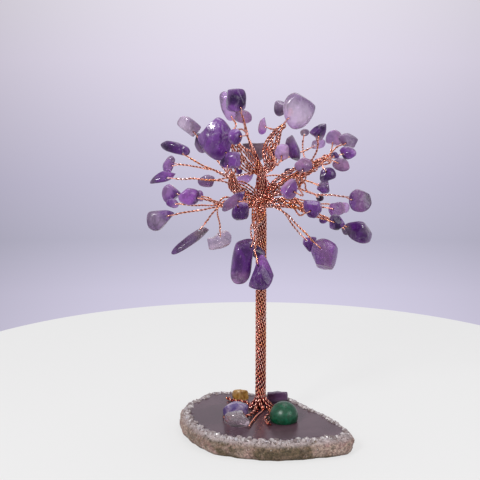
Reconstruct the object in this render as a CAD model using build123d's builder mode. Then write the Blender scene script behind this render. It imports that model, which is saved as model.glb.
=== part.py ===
from build123d import *
import os
from collections import namedtuple
from math import ceil, cos, pi, radians, sin

# A gemstone tree: tumbled amethyst chips on twisted copper wire, rooted on a slice of agate.
# Millimetres. The origin is where the trunk's axis meets the underside of the slice. +Z is up, +X is
# to the right of someone who faces the tree, and +Y points away from them.
# A share is a part of the size that its comment names, chosen by hand.

# The slice of agate
slab_width = 66.0
slab_depth = 61.0
slab_thickness = 7.0
slab_right = 1.5  # the middle of the slice lies this far right of the trunk
slab_forward = 8.8  # and this far in front of it

rim_points = 63  # round the slice, where lumps of crystal rise and fall
rim_lump_share = 0.022  # of the slice's size, how far the crust draws in between its lumps

# The stones on the slice
largest_stone = 10.6

# The trunk and its leader, the part that goes on above the junction
trunk_height = 79.2  # from the top of the slice to the junction, where the limbs leave the trunk
strand_diameter = 1.05
strand_gap = 0.1
strand_count = 8
trunk_turns = 2.375
leader_height = 12.5
leader_turns = 0.125
runs_per_turn = 10
root_bend = 3.0  # the strands leave the twist this far above the slice
root_reach = 20.0
foot_radius = 3.4
foot_turn = 15.0  # degrees that a root goes on round the trunk before it runs out
resting_gap = 0.08

# Wire
pair_diameter = 0.6  # two wires twisted together
wire_diameter = 0.3
hole_diameter = 0.9
hole_inset = 1.5
loop_lift = 0.5  # from a chip's face to the middle of the wire that crosses it
stem_gap = 1.3  # from a chip's edge to the twist below it
stem_bow_share = 0.06  # how far a stem bows up, as a share of its length

# Flat sides of the round pieces
core_sides = 8
strand_sides = 6
wire_sides = 4
hole_sides = 6
dome_sides = 14
dome_levels = 5

# The crown. A place in it is a share of its radius to the right, away from the viewer and up.
# Pieces that stand nearer to the eye than the trunk look larger, so each is slid along its sight line.
crown_radius = 42.0
crown_rise = 2.0  # from the junction up to the middle of the crown
eye_distance = 425.0
eye_height = 152.0
longest_chip = 16.8

slab_top = slab_thickness
junction_height = slab_top + trunk_height
leader_top = junction_height + leader_height
twist_foot = slab_top + root_bend

# How pieces draw in from level to level: share of the thickness, share of the size
slab_level_shares = ((0, 0.94), (0.25, 1), (0.68, 0.99), (1, 0.93))
chip_level_shares = ((-0.5, 0.5), (-0.26, 0.88), (0.02, 1), (0.28, 0.9), (0.5, 0.56))
nugget_level_shares = ((0, 0.86), (0.35, 1), (0.8, 0.72), (1, 0.4))
stick_level_shares = ((0, 0.92), (0.2, 1), (0.85, 0.94), (1, 0.8))

# How deep the crust of the slice draws in from point to point, again and again round the rim. It goes
# on from level to level, so that no lump lies straight above another.
lump_shares = (0.1, 0.9, 0.2, 0.0, 0.7, 1.0, 0.3, 0.6, 0.0, 0.8, 0.4)

# Of the width and depth of the slice, from its middle
slab_outline_shares = (
    (-0.417, 0.357), (-0.345, 0.484), (-0.22, 0.497), (-0.064, 0.456), (0.108, 0.423), (0.198, 0.308),
    (0.305, 0.121), (0.391, -0.02), (0.462, -0.184), (0.497, -0.298), (0.47, -0.38), (0.386, -0.421),
    (0.244, -0.462), (0.109, -0.495), (-0.029, -0.485), (-0.167, -0.446), (-0.31, -0.37),
    (-0.40, -0.24), (-0.47, -0.085), (-0.497, 0.079), (-0.483, 0.243),
)

# Outlines of chips and stones, of their own width and height, counterclockwise from the right
outline_shares = {
    "pebble": (
        (0.5, -0.06), (0.42, 0.3), (0.1, 0.5), (-0.3, 0.42), (-0.5, 0.04), (-0.4, -0.34), (-0.04, -0.5),
        (0.34, -0.4)),
    "round": (
        (0.5, 0.02), (0.37, 0.37), (0, 0.5), (-0.36, 0.36), (-0.5, -0.02), (-0.36, -0.37), (0, -0.5),
        (0.38, -0.34)),
    "drop": (
        (0.36, -0.02), (0.16, 0.34), (0, 0.5), (-0.14, 0.34), (-0.4, -0.06), (-0.5, -0.3), (-0.16, -0.5),
        (0.26, -0.48), (0.5, -0.28)),
    "block": (
        (0.5, -0.3), (0.48, 0.3), (0.34, 0.48), (-0.34, 0.5), (-0.5, 0.32), (-0.48, -0.26), (-0.3, -0.5),
        (0.36, -0.48)),
    "wedge": (
        (0.5, 0.46), (0.34, 0.5), (-0.4, 0.16), (-0.5, -0.02), (-0.36, -0.14), (0.3, -0.5), (0.46, -0.42)),
    "shield": (
        (0.5, 0.34), (0.34, 0.48), (-0.4, 0.5), (-0.5, 0.34), (-0.3, -0.16), (-0.08, -0.46), (0.12, -0.5),
        (0.34, -0.14)),
    "dome": (
        (0.5, -0.02), (0.44, 0.24), (0.18, 0.5), (-0.14, 0.47), (-0.46, 0.24), (-0.5, 0.02), (-0.2, -0.4),
        (0.08, -0.5), (0.36, -0.36)),
    "moon": (
        (0.34, 0.1), (0.1, 0.42), (-0.16, 0.5), (-0.4, 0.4), (-0.34, 0), (-0.16, -0.3), (0.22, -0.5),
        (0.46, -0.42), (0.5, -0.16)),
    "long": (
        (0.5, 0.08), (0.42, 0.44), (0, 0.5), (-0.4, 0.38), (-0.5, -0.04), (-0.42, -0.44), (0.04, -0.5),
        (0.44, -0.4)),
    "leaf": (
        (0.46, -0.14), (0.34, 0.22), (0.02, 0.5), (-0.28, 0.24), (-0.5, -0.2), (-0.3, -0.5), (0.24, -0.48)),
    "heart": (
        (0.5, 0.02), (0.4, 0.34), (0.1, 0.5), (-0.3, 0.44), (-0.5, 0.16), (-0.46, -0.16), (-0.1, -0.42),
        (0.2, -0.5), (0.44, -0.28)),
    "kidney": (
        (0.5, 0.14), (0.34, 0.46), (0.06, 0.42), (-0.16, 0.16), (-0.42, 0.22), (-0.5, -0.14), (-0.3, -0.46),
        (0.14, -0.5), (0.42, -0.22)),
}

# Each stone with an outline: its place from the trunk in shares of the slice's width and depth, its
# width, depth and height in shares of the largest stone, its turn in degrees and how it draws in
Stone = namedtuple("Stone", "outline place_shares size_shares turn level_shares")
stones = {
    "sodalite_stone": Stone("pebble", (-0.142, -0.131), (0.91, 0.57, 0.49), 12, nugget_level_shares),
    "quartz_stone": Stone("pebble", (-0.135, -0.311), (0.92, 0.64, 0.51), -10, nugget_level_shares),
    "citrine_stone": Stone("block", (-0.121, 0.18), (0.62, 0.47, 0.38), 8, nugget_level_shares),
    "fluorite_stone": Stone("block", (0.1, 0.138), (0.77, 0.38, 0.4), 4, stick_level_shares),
}
dome_place_shares = (0.132, -0.239)
dome_height_share = 0.7
dome_waist_share = 0.3  # the height of the widest level, of the dome's height
dome_foot_share = 0.82  # the radius on the slice, of the widest radius

# Joints of the limbs, in shares of the crown's radius
joint_shares = {
    "leader_crook": (-0.03, 0.0, 0.34),
    "leader_fork": (-0.06, 0.0, 0.41),
    "top_left_foot": (-0.09, -0.03, 0.29),
    "top_left_bend": (-0.16, -0.06, 0.37),
    "top_left_fork": (-0.215, -0.07, 0.46),
    "top_left_tip": (-0.25, -0.02, 0.57),
    "top_right_foot": (0.075, 0.01, 0.31),
    "top_right_bend": (0.08, 0.02, 0.45),
    "top_right_fork": (0.14, 0.0, 0.60),
    "top_right_tip": (0.19, -0.02, 0.67),
    "back_foot": (0.0, 0.12, 0.06),
    "back_bend": (0.02, 0.28, 0.14),
    "back_fork": (0.0, 0.42, 0.22),
    "left_upper_foot": (-0.08, 0.06, 0.03),
    "left_upper_bend": (-0.16, 0.03, 0.09),
    "left_upper_fork": (-0.245, -0.03, 0.14),
    "left_upper_tip": (-0.25, -0.09, 0.25),
    "left_lower_foot": (-0.085, -0.03, -0.02),
    "left_lower_bend": (-0.16, -0.10, -0.02),
    "left_lower_fork": (-0.25, -0.17, -0.01),
    "left_lower_tip": (-0.33, -0.18, -0.04),
    "front_foot": (-0.01, -0.11, -0.035),
    "front_bend": (-0.03, -0.18, -0.13),
    "front_tip": (-0.07, -0.26, -0.26),
    "right_upper_foot": (0.08, -0.01, 0.07),
    "right_upper_bend": (0.20, -0.05, 0.165),
    "right_upper_fork": (0.33, -0.06, 0.24),
    "right_upper_knee": (0.46, -0.06, 0.31),
    "right_upper_tip": (0.57, -0.04, 0.38),
    "right_knot": (0.335, -0.05, 0.11),
    "right_lower_foot": (0.08, -0.05, -0.02),
    "right_lower_bend": (0.18, -0.09, 0.0),
    "right_lower_fork": (0.29, -0.11, -0.03),
    "right_lower_tip": (0.39, -0.13, -0.09),
}

# A cord has a seat on the trunk, in degrees round the axis at the junction, a root and one or more limbs.
# The points of a root are shares of the root's reach, to the right and away from the viewer.
Cord = namedtuple("Cord", "seat climbs root_shares limbs")
cords = {
    "top_left_cord": Cord(225, True, ((0.29, 0.05),), [
        ("top_left_foot", "top_left_bend", "top_left_fork", "top_left_tip")]),
    "top_right_cord": Cord(45, True, ((-0.31, -0.08),), [
        ("top_right_foot", "top_right_bend", "top_right_fork", "top_right_tip")]),
    "back_cord": Cord(90, False, ((-0.13, -0.40), (-0.27, -0.63), (-0.70, -0.68)), [
        ("back_foot", "back_bend", "back_fork")]),
    "left_upper_cord": Cord(135, False, ((-0.05, -0.46), (-0.13, -0.75), (-0.21, -1.12)), [
        ("left_upper_foot", "left_upper_bend", "left_upper_fork", "left_upper_tip")]),
    "left_lower_cord": Cord(180, False, ((0.22, -0.40), (0.1, -0.70), (0.17, -1.05)), [
        ("left_lower_foot", "left_lower_bend", "left_lower_fork", "left_lower_tip")]),
    "front_cord": Cord(270, False, ((0.12, 0.25),), [
        ("front_foot", "front_bend", "front_tip")]),
    "right_upper_cord": Cord(0, False, ((-0.30, 0.23), (-0.54, 0.33), (-0.65, 0.48)), [
        ("right_upper_foot", "right_upper_bend", "right_upper_fork", "right_upper_knee", "right_upper_tip"),
        ("right_upper_fork", "right_knot")]),
    "right_lower_cord": Cord(315, False, ((-0.09, 0.38), (-0.05, 0.60)), [
        ("right_lower_foot", "right_lower_bend", "right_lower_fork", "right_lower_tip")]),
}
core_limb = ("leader_crook", "leader_fork")

# The chips, listed under the cord and the joint that their wires come from. Each has its node, its
# outline, its place in the crown, its width, height and thickness as shares of the longest chip, and
# how far it turns about the upright and then rolls as the viewer sees it, both in degrees.
Chip = namedtuple("Chip", "node outline place_shares size_shares tilt")
sprigs = {
    ("core_cord", "leader_fork"): [
        Chip("top_cube_chip", "block", (-0.225, -0.15, 0.885), (0.44, 0.5, 0.36), (15, 4)),
        Chip("top_loop_chip", "pebble", (-0.165, 0.36, 0.74), (0.44, 0.31, 0.24), (10, -20)),
        Chip("smoky_chip", "shield", (-0.06, 0.24, 0.43), (0.60, 0.48, 0.34), (5, -8)),
    ],
    ("top_left_cord", "top_left_bend"): [
        Chip("small_chips_upper", "pebble", (-0.20, 0.22, 0.265), (0.17, 0.19, 0.14), (0, 20)),
    ],
    ("top_left_cord", "top_left_fork"): [
        Chip("shadow_chip", "leaf", (-0.53, 0.3, 0.51), (0.34, 0.46, 0.24), (30, 38)),
    ],
    ("top_left_cord", "top_left_tip"): [
        Chip("top_pale_chip", "long", (-0.30, 0.15, 0.83), (0.27, 0.67, 0.2), (-20, 22)),
        Chip("top_round_chip", "round", (-0.235, -0.5, 0.56), (0.33, 0.33, 0.24), (25, 15)),
    ],
    ("top_right_cord", "top_right_bend"): [
        Chip("half_moon_chip", "moon", (0.27, 0.1, 0.46), (0.33, 0.60, 0.28), (-15, 8)),
        Chip("bright_square_chip", "block", (0.18, -0.38, 0.43), (0.30, 0.34, 0.22), (12, -4)),
        Chip("small_chips_upper", "pebble", (0.085, 0.3, 0.43), (0.18, 0.2, 0.14), (-20, 30)),
    ],
    ("top_right_cord", "top_right_fork"): [
        Chip("top_leaf_chip", "leaf", (0.01, -0.3, 0.66), (0.18, 0.37, 0.15), (20, -4)),
    ],
    ("top_right_cord", "top_right_tip"): [
        Chip("top_drop_chip", "heart", (0.31, -0.1, 0.78), (0.69, 0.72, 0.4), (-10, -30)),
        Chip("small_chips_upper", "leaf", (0.165, 0.25, 0.82), (0.35, 0.35, 0.22), (-25, 40)),
    ],
    ("back_cord", "back_fork"): [
        Chip("small_chips_back", "leaf", (-0.14, 0.7, 0.20), (0.28, 0.42, 0.18), (10, -50)),
        Chip("small_chips_back", "block", (0.55, 0.62, 0.12), (0.32, 0.32, 0.2), (-20, 8)),
        Chip("small_chips_back", "long", (0.50, 0.6, 0.50), (0.34, 0.22, 0.16), (0, 8)),
        Chip("small_chips_back", "pebble", (-0.485, 0.6, 0.17), (0.42, 0.30, 0.2), (-15, 0)),
    ],
    ("left_upper_cord", "left_upper_fork"): [
        Chip("outer_grey_chip", "long", (-0.64, 0.14, 0.66), (0.53, 0.33, 0.2), (20, -40)),
        Chip("long_indigo_chip", "long", (-0.76, -0.12, 0.465), (0.70, 0.25, 0.2), (-10, -15)),
        Chip("left_pale_chip", "moon", (-0.82, 0.22, 0.32), (0.36, 0.38, 0.22), (20, -60)),
        Chip("left_pointed_chip", "leaf", (-0.88, -0.05, 0.20), (0.27, 0.60, 0.22), (10, 118)),
    ],
    ("left_upper_cord", "left_upper_tip"): [
        Chip("domed_chip", "dome", (-0.40, -0.3, 0.54), (0.71, 0.93, 0.5), (18, 6)),
        Chip("inner_left_chip", "pebble", (-0.28, -0.47, 0.35), (0.47, 0.36, 0.28), (-10, 8)),
    ],
    ("left_lower_cord", "left_lower_bend"): [
        Chip("finger_chip", "long", (-0.245, -0.55, -0.01), (0.64, 0.23, 0.2), (15, 33)),
        Chip("inner_round_chip", "dome", (-0.18, -0.36, -0.10), (0.38, 0.44, 0.26), (10, 160)),
    ],
    ("left_lower_cord", "left_lower_fork"): [
        Chip("left_round_chip", "round", (-0.80, -0.28, 0.06), (0.42, 0.40, 0.26), (15, 10)),
        Chip("left_bright_chip", "pebble", (-0.64, -0.5, 0.03), (0.47, 0.36, 0.26), (20, -8)),
    ],
    ("left_lower_cord", "left_lower_tip"): [
        Chip("small_chips_left", "pebble", (-0.79, -0.4, -0.03), (0.28, 0.2, 0.14), (0, -12)),
        Chip("small_chips_left", "pebble", (-0.55, 0.1, 0.035), (0.18, 0.26, 0.15), (15, 0)),
        Chip("teardrop_chip", "drop", (-0.90, -0.22, -0.165), (0.46, 0.64, 0.3), (-15, -62)),
        Chip("slender_chip", "long", (-0.64, -0.2, -0.37), (0.98, 0.22, 0.2), (12, 33)),
        Chip("clear_chip", "kidney", (-0.37, 0.12, -0.36), (0.56, 0.42, 0.24), (8, 8)),
    ],
    ("front_cord", "front_tip"): [
        Chip("hanging_long_chip", "long", (-0.17, -0.42, -0.56), (0.44, 1.0, 0.32), (12, -8)),
        Chip("hanging_slanted_chip", "long", (-0.055, -0.22, -0.46), (0.5, 0.26, 0.2), (0, -38)),
        Chip("hanging_drop_chip", "drop", (0.0, -0.5, -0.66), (0.53, 0.76, 0.36), (-8, 0)),
    ],
    ("right_upper_cord", "right_upper_bend"): [
        Chip("inner_right_chip", "pebble", (0.37, -0.5, 0.315), (0.38, 0.32, 0.24), (10, -15)),
        Chip("inner_violet_chip", "leaf", (0.255, -0.58, 0.10), (0.36, 0.44, 0.24), (15, -20)),
        Chip("small_chips_upper", "pebble", (0.24, 0.3, 0.257), (0.19, 0.15, 0.12), (0, 0)),
    ],
    ("right_upper_cord", "right_upper_fork"): [
        Chip("small_chips_upper", "pebble", (0.38, 0.42, 0.60), (0.21, 0.17, 0.14), (0, 10)),
    ],
    ("right_upper_cord", "right_upper_knee"): [
        Chip("upper_triangle_chip", "wedge", (0.49, -0.2, 0.61), (0.36, 0.38, 0.26), (20, -6)),
        Chip("right_inner_dark_chip", "pebble", (0.58, -0.32, 0.23), (0.38, 0.28, 0.2), (15, 20)),
        Chip("small_chips_right", "pebble", (0.50, 0.3, 0.33), (0.18, 0.22, 0.14), (0, 0)),
    ],
    ("right_upper_cord", "right_upper_tip"): [
        Chip("right_mauve_chip", "pebble", (0.70, 0.15, 0.32), (0.38, 0.30, 0.22), (15, -8)),
        Chip("right_violet_chip", "pebble", (0.76, -0.14, 0.42), (0.38, 0.28, 0.2), (-15, -8)),
        Chip("right_grey_chip", "dome", (0.76, 0.12, 0.53), (0.46, 0.33, 0.24), (10, -10)),
        Chip("right_lavender_chip", "pebble", (0.635, 0.34, 0.55), (0.38, 0.38, 0.24), (-10, 8)),
        Chip("small_chips_right", "pebble", (0.65, -0.3, 0.40), (0.18, 0.15, 0.12), (0, 0)),
    ],
    ("right_upper_cord", "right_knot"): [
        Chip("outer_round_chip", "round", (0.875, -0.05, 0.0), (0.54, 0.57, 0.36), (-10, 12)),
        Chip("small_chips_right", "pebble", (0.52, 0.2, 0.02), (0.18, 0.15, 0.12), (0, 0)),
    ],
    ("right_lower_cord", "right_lower_foot"): [
        Chip("lower_small_chip", "wedge", (0.44, -0.1, -0.40), (0.34, 0.32, 0.2), (15, 100)),
        Chip("lower_heart_chip", "heart", (0.58, -0.18, -0.49), (0.62, 0.73, 0.34), (15, 0)),
    ],
    ("right_lower_cord", "right_lower_fork"): [
        Chip("small_chips_right", "pebble", (0.74, 0.32, -0.065), (0.24, 0.25, 0.16), (0, 0)),
        Chip("right_purple_chip", "block", (0.67, 0.05, -0.08), (0.38, 0.31, 0.24), (12, 10)),
        Chip("right_triangle_chip", "wedge", (0.45, -0.5, -0.07), (0.42, 0.40, 0.24), (10, -35)),
    ],
    ("right_lower_cord", "right_lower_tip"): [
        Chip("lower_dark_chip", "dome", (0.86, -0.2, -0.28), (0.66, 0.5, 0.34), (-15, -14)),
        Chip("small_chips_right", "pebble", (0.77, 0.12, -0.27), (0.27, 0.22, 0.16), (0, 0)),
        Chip("right_dark_chip", "pebble", (0.67, -0.32, -0.20), (0.38, 0.34, 0.24), (20, -10)),
        Chip("small_chips_right", "pebble", (0.555, -0.1, -0.175), (0.2, 0.17, 0.13), (0, 20)),
    ],
}


def spot(shares):
    """A place in the crown, slid along its sight line from the viewer's eye."""
    across_share, depth_share, height_share = shares
    depth = depth_share * crown_radius
    slide = 1 + depth / eye_distance
    height = junction_height + crown_rise + height_share * crown_radius
    return Vector(across_share * crown_radius * slide, depth, eye_height + (height - eye_height) * slide)


def twist(seat, foot, top, turns):
    """Points of a strand round the trunk, from foot up to top, that ends at its seat in degrees."""
    runs = ceil(turns * runs_per_turn)
    points = []
    for step in range(runs + 1):
        angle = radians(seat + 360 * turns * (runs - step) / runs)
        height = foot + (top - foot) * step / runs
        points.append(Vector(strand_circle * cos(angle), strand_circle * sin(angle), height))
    return points


def tube(points, diameter, sides, closed=False):
    """Sweeps a wire of a few flat sides along straight runs with mitred corners."""
    with BuildLine() as path:
        Polyline(*points, close=closed)
    with BuildSketch(Plane(origin=points[0], z_dir=points[1] - points[0])) as section:
        RegularPolygon(radius=diameter / 2, side_count=sides)
    sweep(sections=section.sketch, path=path.wire(), transition=Transition.RIGHT, clean=False)


def faceted(plane, corners, thickness, level_shares):
    """A tumbled piece of flat faces: its outline at each level over the plane, larger or smaller."""
    rings = []
    for level_share, size_share in level_shares:
        lift = Vector(0, 0, level_share * thickness)
        rings.append([plane.from_local_coords(corner * size_share + lift) for corner in corners])
    faces = [Face(Wire.make_polygon(rings[0])), Face(Wire.make_polygon(rings[-1]))]
    for low, high in zip(rings, rings[1:]):
        for i in range(len(corners)):
            faces.append(Face(Wire.make_polygon([low[i - 1], low[i], high[i], high[i - 1]])))
    add(Solid(Shell(faces)))


def crusted(plane, corners, thickness, level_shares):
    """A slice with a smooth outline and a lumpy crust round it, of three-sided faces."""
    rim = Edge.make_spline(corners, periodic=True)
    rings = []
    for level, (level_share, size_share) in enumerate(level_shares):
        ring = []
        for i in range(rim_points):
            lump_share = lump_shares[(i + level * (rim_points + 1)) % len(lump_shares)]
            place = (rim @ (i / rim_points)) * (size_share - rim_lump_share * lump_share)
            ring.append(plane.from_local_coords(place + Vector(0, 0, level_share * thickness)))
        rings.append(ring)
    faces = [Face(Wire.make_polygon(rings[0])), Face(Wire.make_polygon(rings[-1]))]
    for low, high in zip(rings, rings[1:]):
        for i in range(rim_points):
            faces.append(Face(Wire.make_polygon([low[i - 1], low[i], high[i]])))
            faces.append(Face(Wire.make_polygon([low[i - 1], high[i], high[i - 1]])))
    add(Solid(Shell(faces)))


def outline(shares, width, height):
    """The corners of an outline about its middle."""
    return [Vector(x * width, y * height) for x, y in shares]


def edge_distance(corners, direction):
    """How far the outline lies from its middle in a direction of its plane."""
    reach = 0
    for one, other in zip(corners, corners[1:] + corners[:1]):
        run = other - one
        cross = direction.X * run.Y - direction.Y * run.X
        along = (one.X * run.Y - one.Y * run.X) / cross if cross else 0
        share = (one.X * direction.Y - one.Y * direction.X) / cross if cross else -1
        if 0 <= share <= 1 and along > reach:
            reach = along
    return reach


class Seat:
    """Where a chip stands, where it is drilled and where its wire is twisted together."""

    def __init__(self, chip, joint):
        width, height, self.thickness = (share * longest_chip for share in chip.size_shares)
        self.corners = outline(outline_shares[chip.outline], width, height)
        turn, roll = chip.tilt
        facing_viewer = Plane(origin=spot(chip.place_shares), x_dir=(1, 0, 0), z_dir=(0, -1, 0))
        self.plane = facing_viewer.rotated((0, -roll, turn))
        self.joint = spot(joint_shares[joint])
        to_joint = self.plane.to_local_coords(self.joint)
        direction = Vector(to_joint.X, to_joint.Y).normalized()
        edge = edge_distance(self.corners, direction)
        lift = Vector(0, 0, self.thickness / 2 + loop_lift)
        self.hole = direction * (edge - min(hole_inset, edge / 2))
        self.front = self.plane.from_local_coords(self.hole + lift)
        self.back = self.plane.from_local_coords(self.hole - lift)
        self.stem = self.plane.from_local_coords(direction * (edge + stem_gap))


def write(part, name):
    part.label = name
    export_step(part, f"parts/{name}.step")


# Strands that lie side by side on a circle, each as wide as its slope makes it, round a core
half_step = pi / strand_count
strand_circle = (strand_diameter + strand_gap) / (2 * sin(half_step) * cos(pi / runs_per_turn))
core_diameter = 2 * (strand_circle * cos(pi / runs_per_turn) - strand_diameter / 2 - strand_gap)

os.makedirs("parts", exist_ok=True)

# The slice of agate
with BuildPart() as agate_slice:
    underside = Plane(origin=(slab_right, -slab_forward, 0))
    crusted(underside, outline(slab_outline_shares, slab_width, slab_depth), slab_thickness, slab_level_shares)
write(agate_slice.part, "agate_slice")

# The stones that lie on the slice
for name, stone in stones.items():
    across_share, away_share = stone.place_shares
    width, depth, height = (share * largest_stone for share in stone.size_shares)
    bed = Plane(origin=(across_share * slab_width, away_share * slab_depth, slab_top))
    with BuildPart() as piece:
        corners = outline(outline_shares[stone.outline], width, depth)
        faceted(bed.rotated((0, 0, stone.turn)), corners, height, stone.level_shares)
    write(piece.part, name)

# The largest stone, a polished dome that draws in a little towards its foot
dome_height = dome_height_share * largest_stone
dome_seat = Plane(origin=(dome_place_shares[0] * slab_width, dome_place_shares[1] * slab_depth, slab_top))
side_angles = [2 * pi * side / dome_sides for side in range(dome_sides)]
level_angles = [pi / 2 * level / dome_levels for level in range(dome_levels)]
dome_level_shares = [(0, dome_foot_share)]
for angle in level_angles:
    dome_level_shares.append((dome_waist_share + (1 - dome_waist_share) * sin(angle), cos(angle)))
with BuildPart() as aventurine_stone:
    circle = [(cos(angle) / 2, sin(angle) / 2) for angle in side_angles]
    faceted(dome_seat, outline(circle, largest_stone, largest_stone), dome_height, dome_level_shares)
write(aventurine_stone.part, "aventurine_stone")

# The chips, drilled through
members = {}
for (cord_name, joint), chips in sprigs.items():
    for chip in chips:
        members.setdefault(chip.node, []).append(Seat(chip, joint))
for name, seats in members.items():
    with BuildPart() as piece:
        for seat in seats:
            faceted(seat.plane, seat.corners, seat.thickness, chip_level_shares)
            with BuildSketch(seat.plane):
                with Locations((seat.hole.X, seat.hole.Y)):
                    RegularPolygon(radius=hole_diameter / 2, side_count=hole_sides)
            extrude(amount=seat.thickness, both=True, mode=Mode.SUBTRACT)
    write(piece.part, name)


def twigs(name):
    """The stem and the loop of every chip that a cord holds."""
    for (cord_name, joint), chips in sprigs.items():
        if cord_name == name:
            for chip in chips:
                seat = Seat(chip, joint)
                run = seat.stem - seat.joint
                bow = seat.joint + run / 2 + Vector(0, 0, stem_bow_share * run.length)
                tube([seat.joint, bow, seat.stem], pair_diameter, wire_sides)
                inside = (seat.front + seat.back) / 2
                tube([inside, seat.back, seat.stem, seat.front], wire_diameter, wire_sides, closed=True)


def limb_points(limb):
    """The joints of a limb, in their places."""
    return [spot(joint_shares[joint]) for joint in limb]


# The cords of the outer strands
for name, cord in cords.items():
    foot_angle = radians(cord.seat + 360 * trunk_turns + foot_turn)
    rest = slab_top + resting_gap + strand_diameter / 2
    route = [Vector(x * root_reach, y * root_reach, rest) for x, y in reversed(cord.root_shares)]
    route += [Vector(foot_radius * cos(foot_angle), foot_radius * sin(foot_angle), rest)]
    route += twist(cord.seat, twist_foot, junction_height, trunk_turns)
    if cord.climbs:
        route += twist(cord.seat - 360 * leader_turns, junction_height, leader_top, leader_turns)[1:]
    route += limb_points(cord.limbs[0])
    with BuildPart() as piece:
        tube(route, strand_diameter, strand_sides)
        for limb in cord.limbs[1:]:
            tube(limb_points(limb), strand_diameter, strand_sides)
        twigs(name)
    write(piece.part, name)

# The core of the trunk, which goes on as the leader
with BuildPart() as core_cord:
    core_foot = Vector(0, 0, slab_top + resting_gap)
    core_top = Vector(0, 0, leader_top)
    tube([core_foot, core_top], core_diameter, core_sides)
    tube([core_top - Vector(0, 0, core_diameter)] + limb_points(core_limb), strand_diameter, strand_sides)
    twigs("core_cord")
write(core_cord.part, "core_cord")
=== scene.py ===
import random
from collections import namedtuple
from math import atan2, ceil, cos, pi, radians, sin

import bpy
import numpy as np
from mathutils import Matrix, Vector, noise
from mathutils.bvhtree import BVHTree


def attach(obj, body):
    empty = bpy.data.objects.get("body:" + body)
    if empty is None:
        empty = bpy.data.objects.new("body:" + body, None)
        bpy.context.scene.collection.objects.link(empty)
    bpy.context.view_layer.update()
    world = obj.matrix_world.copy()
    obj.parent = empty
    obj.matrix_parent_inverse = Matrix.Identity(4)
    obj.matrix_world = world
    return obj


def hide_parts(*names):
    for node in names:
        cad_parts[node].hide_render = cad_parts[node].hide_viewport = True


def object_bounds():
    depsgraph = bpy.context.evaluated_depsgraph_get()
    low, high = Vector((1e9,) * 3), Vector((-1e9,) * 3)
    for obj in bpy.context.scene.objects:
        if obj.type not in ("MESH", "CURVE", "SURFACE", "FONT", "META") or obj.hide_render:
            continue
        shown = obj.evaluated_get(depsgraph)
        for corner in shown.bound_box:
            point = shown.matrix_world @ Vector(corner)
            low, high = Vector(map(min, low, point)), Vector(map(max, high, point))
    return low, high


# The looks of the gemstone tree. Shapes are worked out in millimetres in the frame of the part and
# become metres when their mesh is made. A share is a part of the size that its comment names.
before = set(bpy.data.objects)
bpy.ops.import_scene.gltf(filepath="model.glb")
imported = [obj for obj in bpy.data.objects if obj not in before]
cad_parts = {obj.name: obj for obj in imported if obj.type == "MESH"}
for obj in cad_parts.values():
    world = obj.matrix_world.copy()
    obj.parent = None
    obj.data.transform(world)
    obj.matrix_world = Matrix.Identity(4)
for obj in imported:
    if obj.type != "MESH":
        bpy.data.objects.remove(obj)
cad_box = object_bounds()
MM = 0.001

# Sizes repeated from the part's source
slab_width, slab_depth, slab_thickness = 66.0, 61.0, 7.0
slab_right, slab_forward = 1.5, 8.8
slab_levels = (0, 0.25, 0.68, 1)
rim_points, rim_lump_share = 63, 0.022
lump_shares = (0.1, 0.9, 0.2, 0.0, 0.7, 1.0, 0.3, 0.6, 0.0, 0.8, 0.4)
largest_stone = 10.6
trunk_height = 79.2
strand_diameter, strand_gap, strand_count = 1.05, 0.1, 8
trunk_turns = 2.375
leader_height, leader_turns = 12.5, 0.125
runs_per_turn = 10
root_bend, root_reach = 3.0, 20.0
foot_radius, foot_turn = 3.4, 15.0
resting_gap = 0.08
hole_diameter, hole_inset = 0.9, 1.5
stem_gap = 1.3
crown_radius, crown_rise = 42.0, 2.0
eye_distance, eye_height = 425.0, 152.0
longest_chip = 16.8
slab_top = slab_thickness
junction_height = slab_top + trunk_height
leader_top = junction_height + leader_height
twist_foot = slab_top + root_bend
strand_circle = (strand_diameter + strand_gap) / (2 * sin(pi / strand_count) * cos(pi / runs_per_turn))

# How the wires lie
wire_diameter = 0.39  # as it looks in the photograph, more than in the solids
trunk_wire_diameter = 0.43
wire_step, wire_sides = 0.32, 6
path_step, loop_step = 0.4, 0.22
wire_clearance = 0.04  # between a chip and the wire that crosses it
pitch = 3.1  # of the two wires of a pair
bead_starts = 3  # round the trunk, so that the beads of its pairs lie in slanting rows
bundle_lay = 15.0  # length in which the pairs of a limb turn once round each other
bundle_circle, outer_circle = 1.42, 3.2  # of the pairs of a limb, in wire diameters
outer_step = 77  # degrees round the limb from one outer pair to the next
trunk_pair_circle = 1.7
double_seats = (0, 90, 180, 270)  # cords that show two pairs on the trunk, where the others show one
double_spread = 30.0  # degrees round the trunk between two neighbouring pairs
core_radius = 1.38
leader_pairs, leader_circle = 8, 0.9
through_pairs = 4  # of a limb that run through all of it
late_start, late_rise = 9.0, 5.0  # before its joint, where another pair comes out of the limb
limb_loosening = 0.9
hidden_depth = 7.0  # below the junction, where a pair that doesn't show on the trunk ends
merge_length = 7.0  # over which the pairs of a limb take their places on the trunk
root_merge, root_lay, root_apart = 4.0, 5.2, 0.43
double_root_shade = 0.9  # between the two pairs of a root
root_clearance = 0.03  # between a root's wires and the slice
flare_pairs, flare_height, flare_reaches = 13, 8.0, (3.0, 5.4)
bow_start = 2.5  # below the junction
bow_depth = 0.7
bow_reach, bow_length = 1.2, 10.0  # of the extra pairs that bow away between two knots of a limb
sheet_reaches, sheet_length = (-2.6, -1.7, 1.8, 2.7), 19.0  # and of those that bow away over all of it
shortest_bow = 4.0  # from knot to knot
stem_wander, wander_size = 0.5, 5.0
stem_clearance, chip_search = 0.62, 3.0  # between the middle of a free pair and the chips of its cord
side_hint = (0.31, 0.2, 0.93)  # a direction that no path starts along

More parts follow.
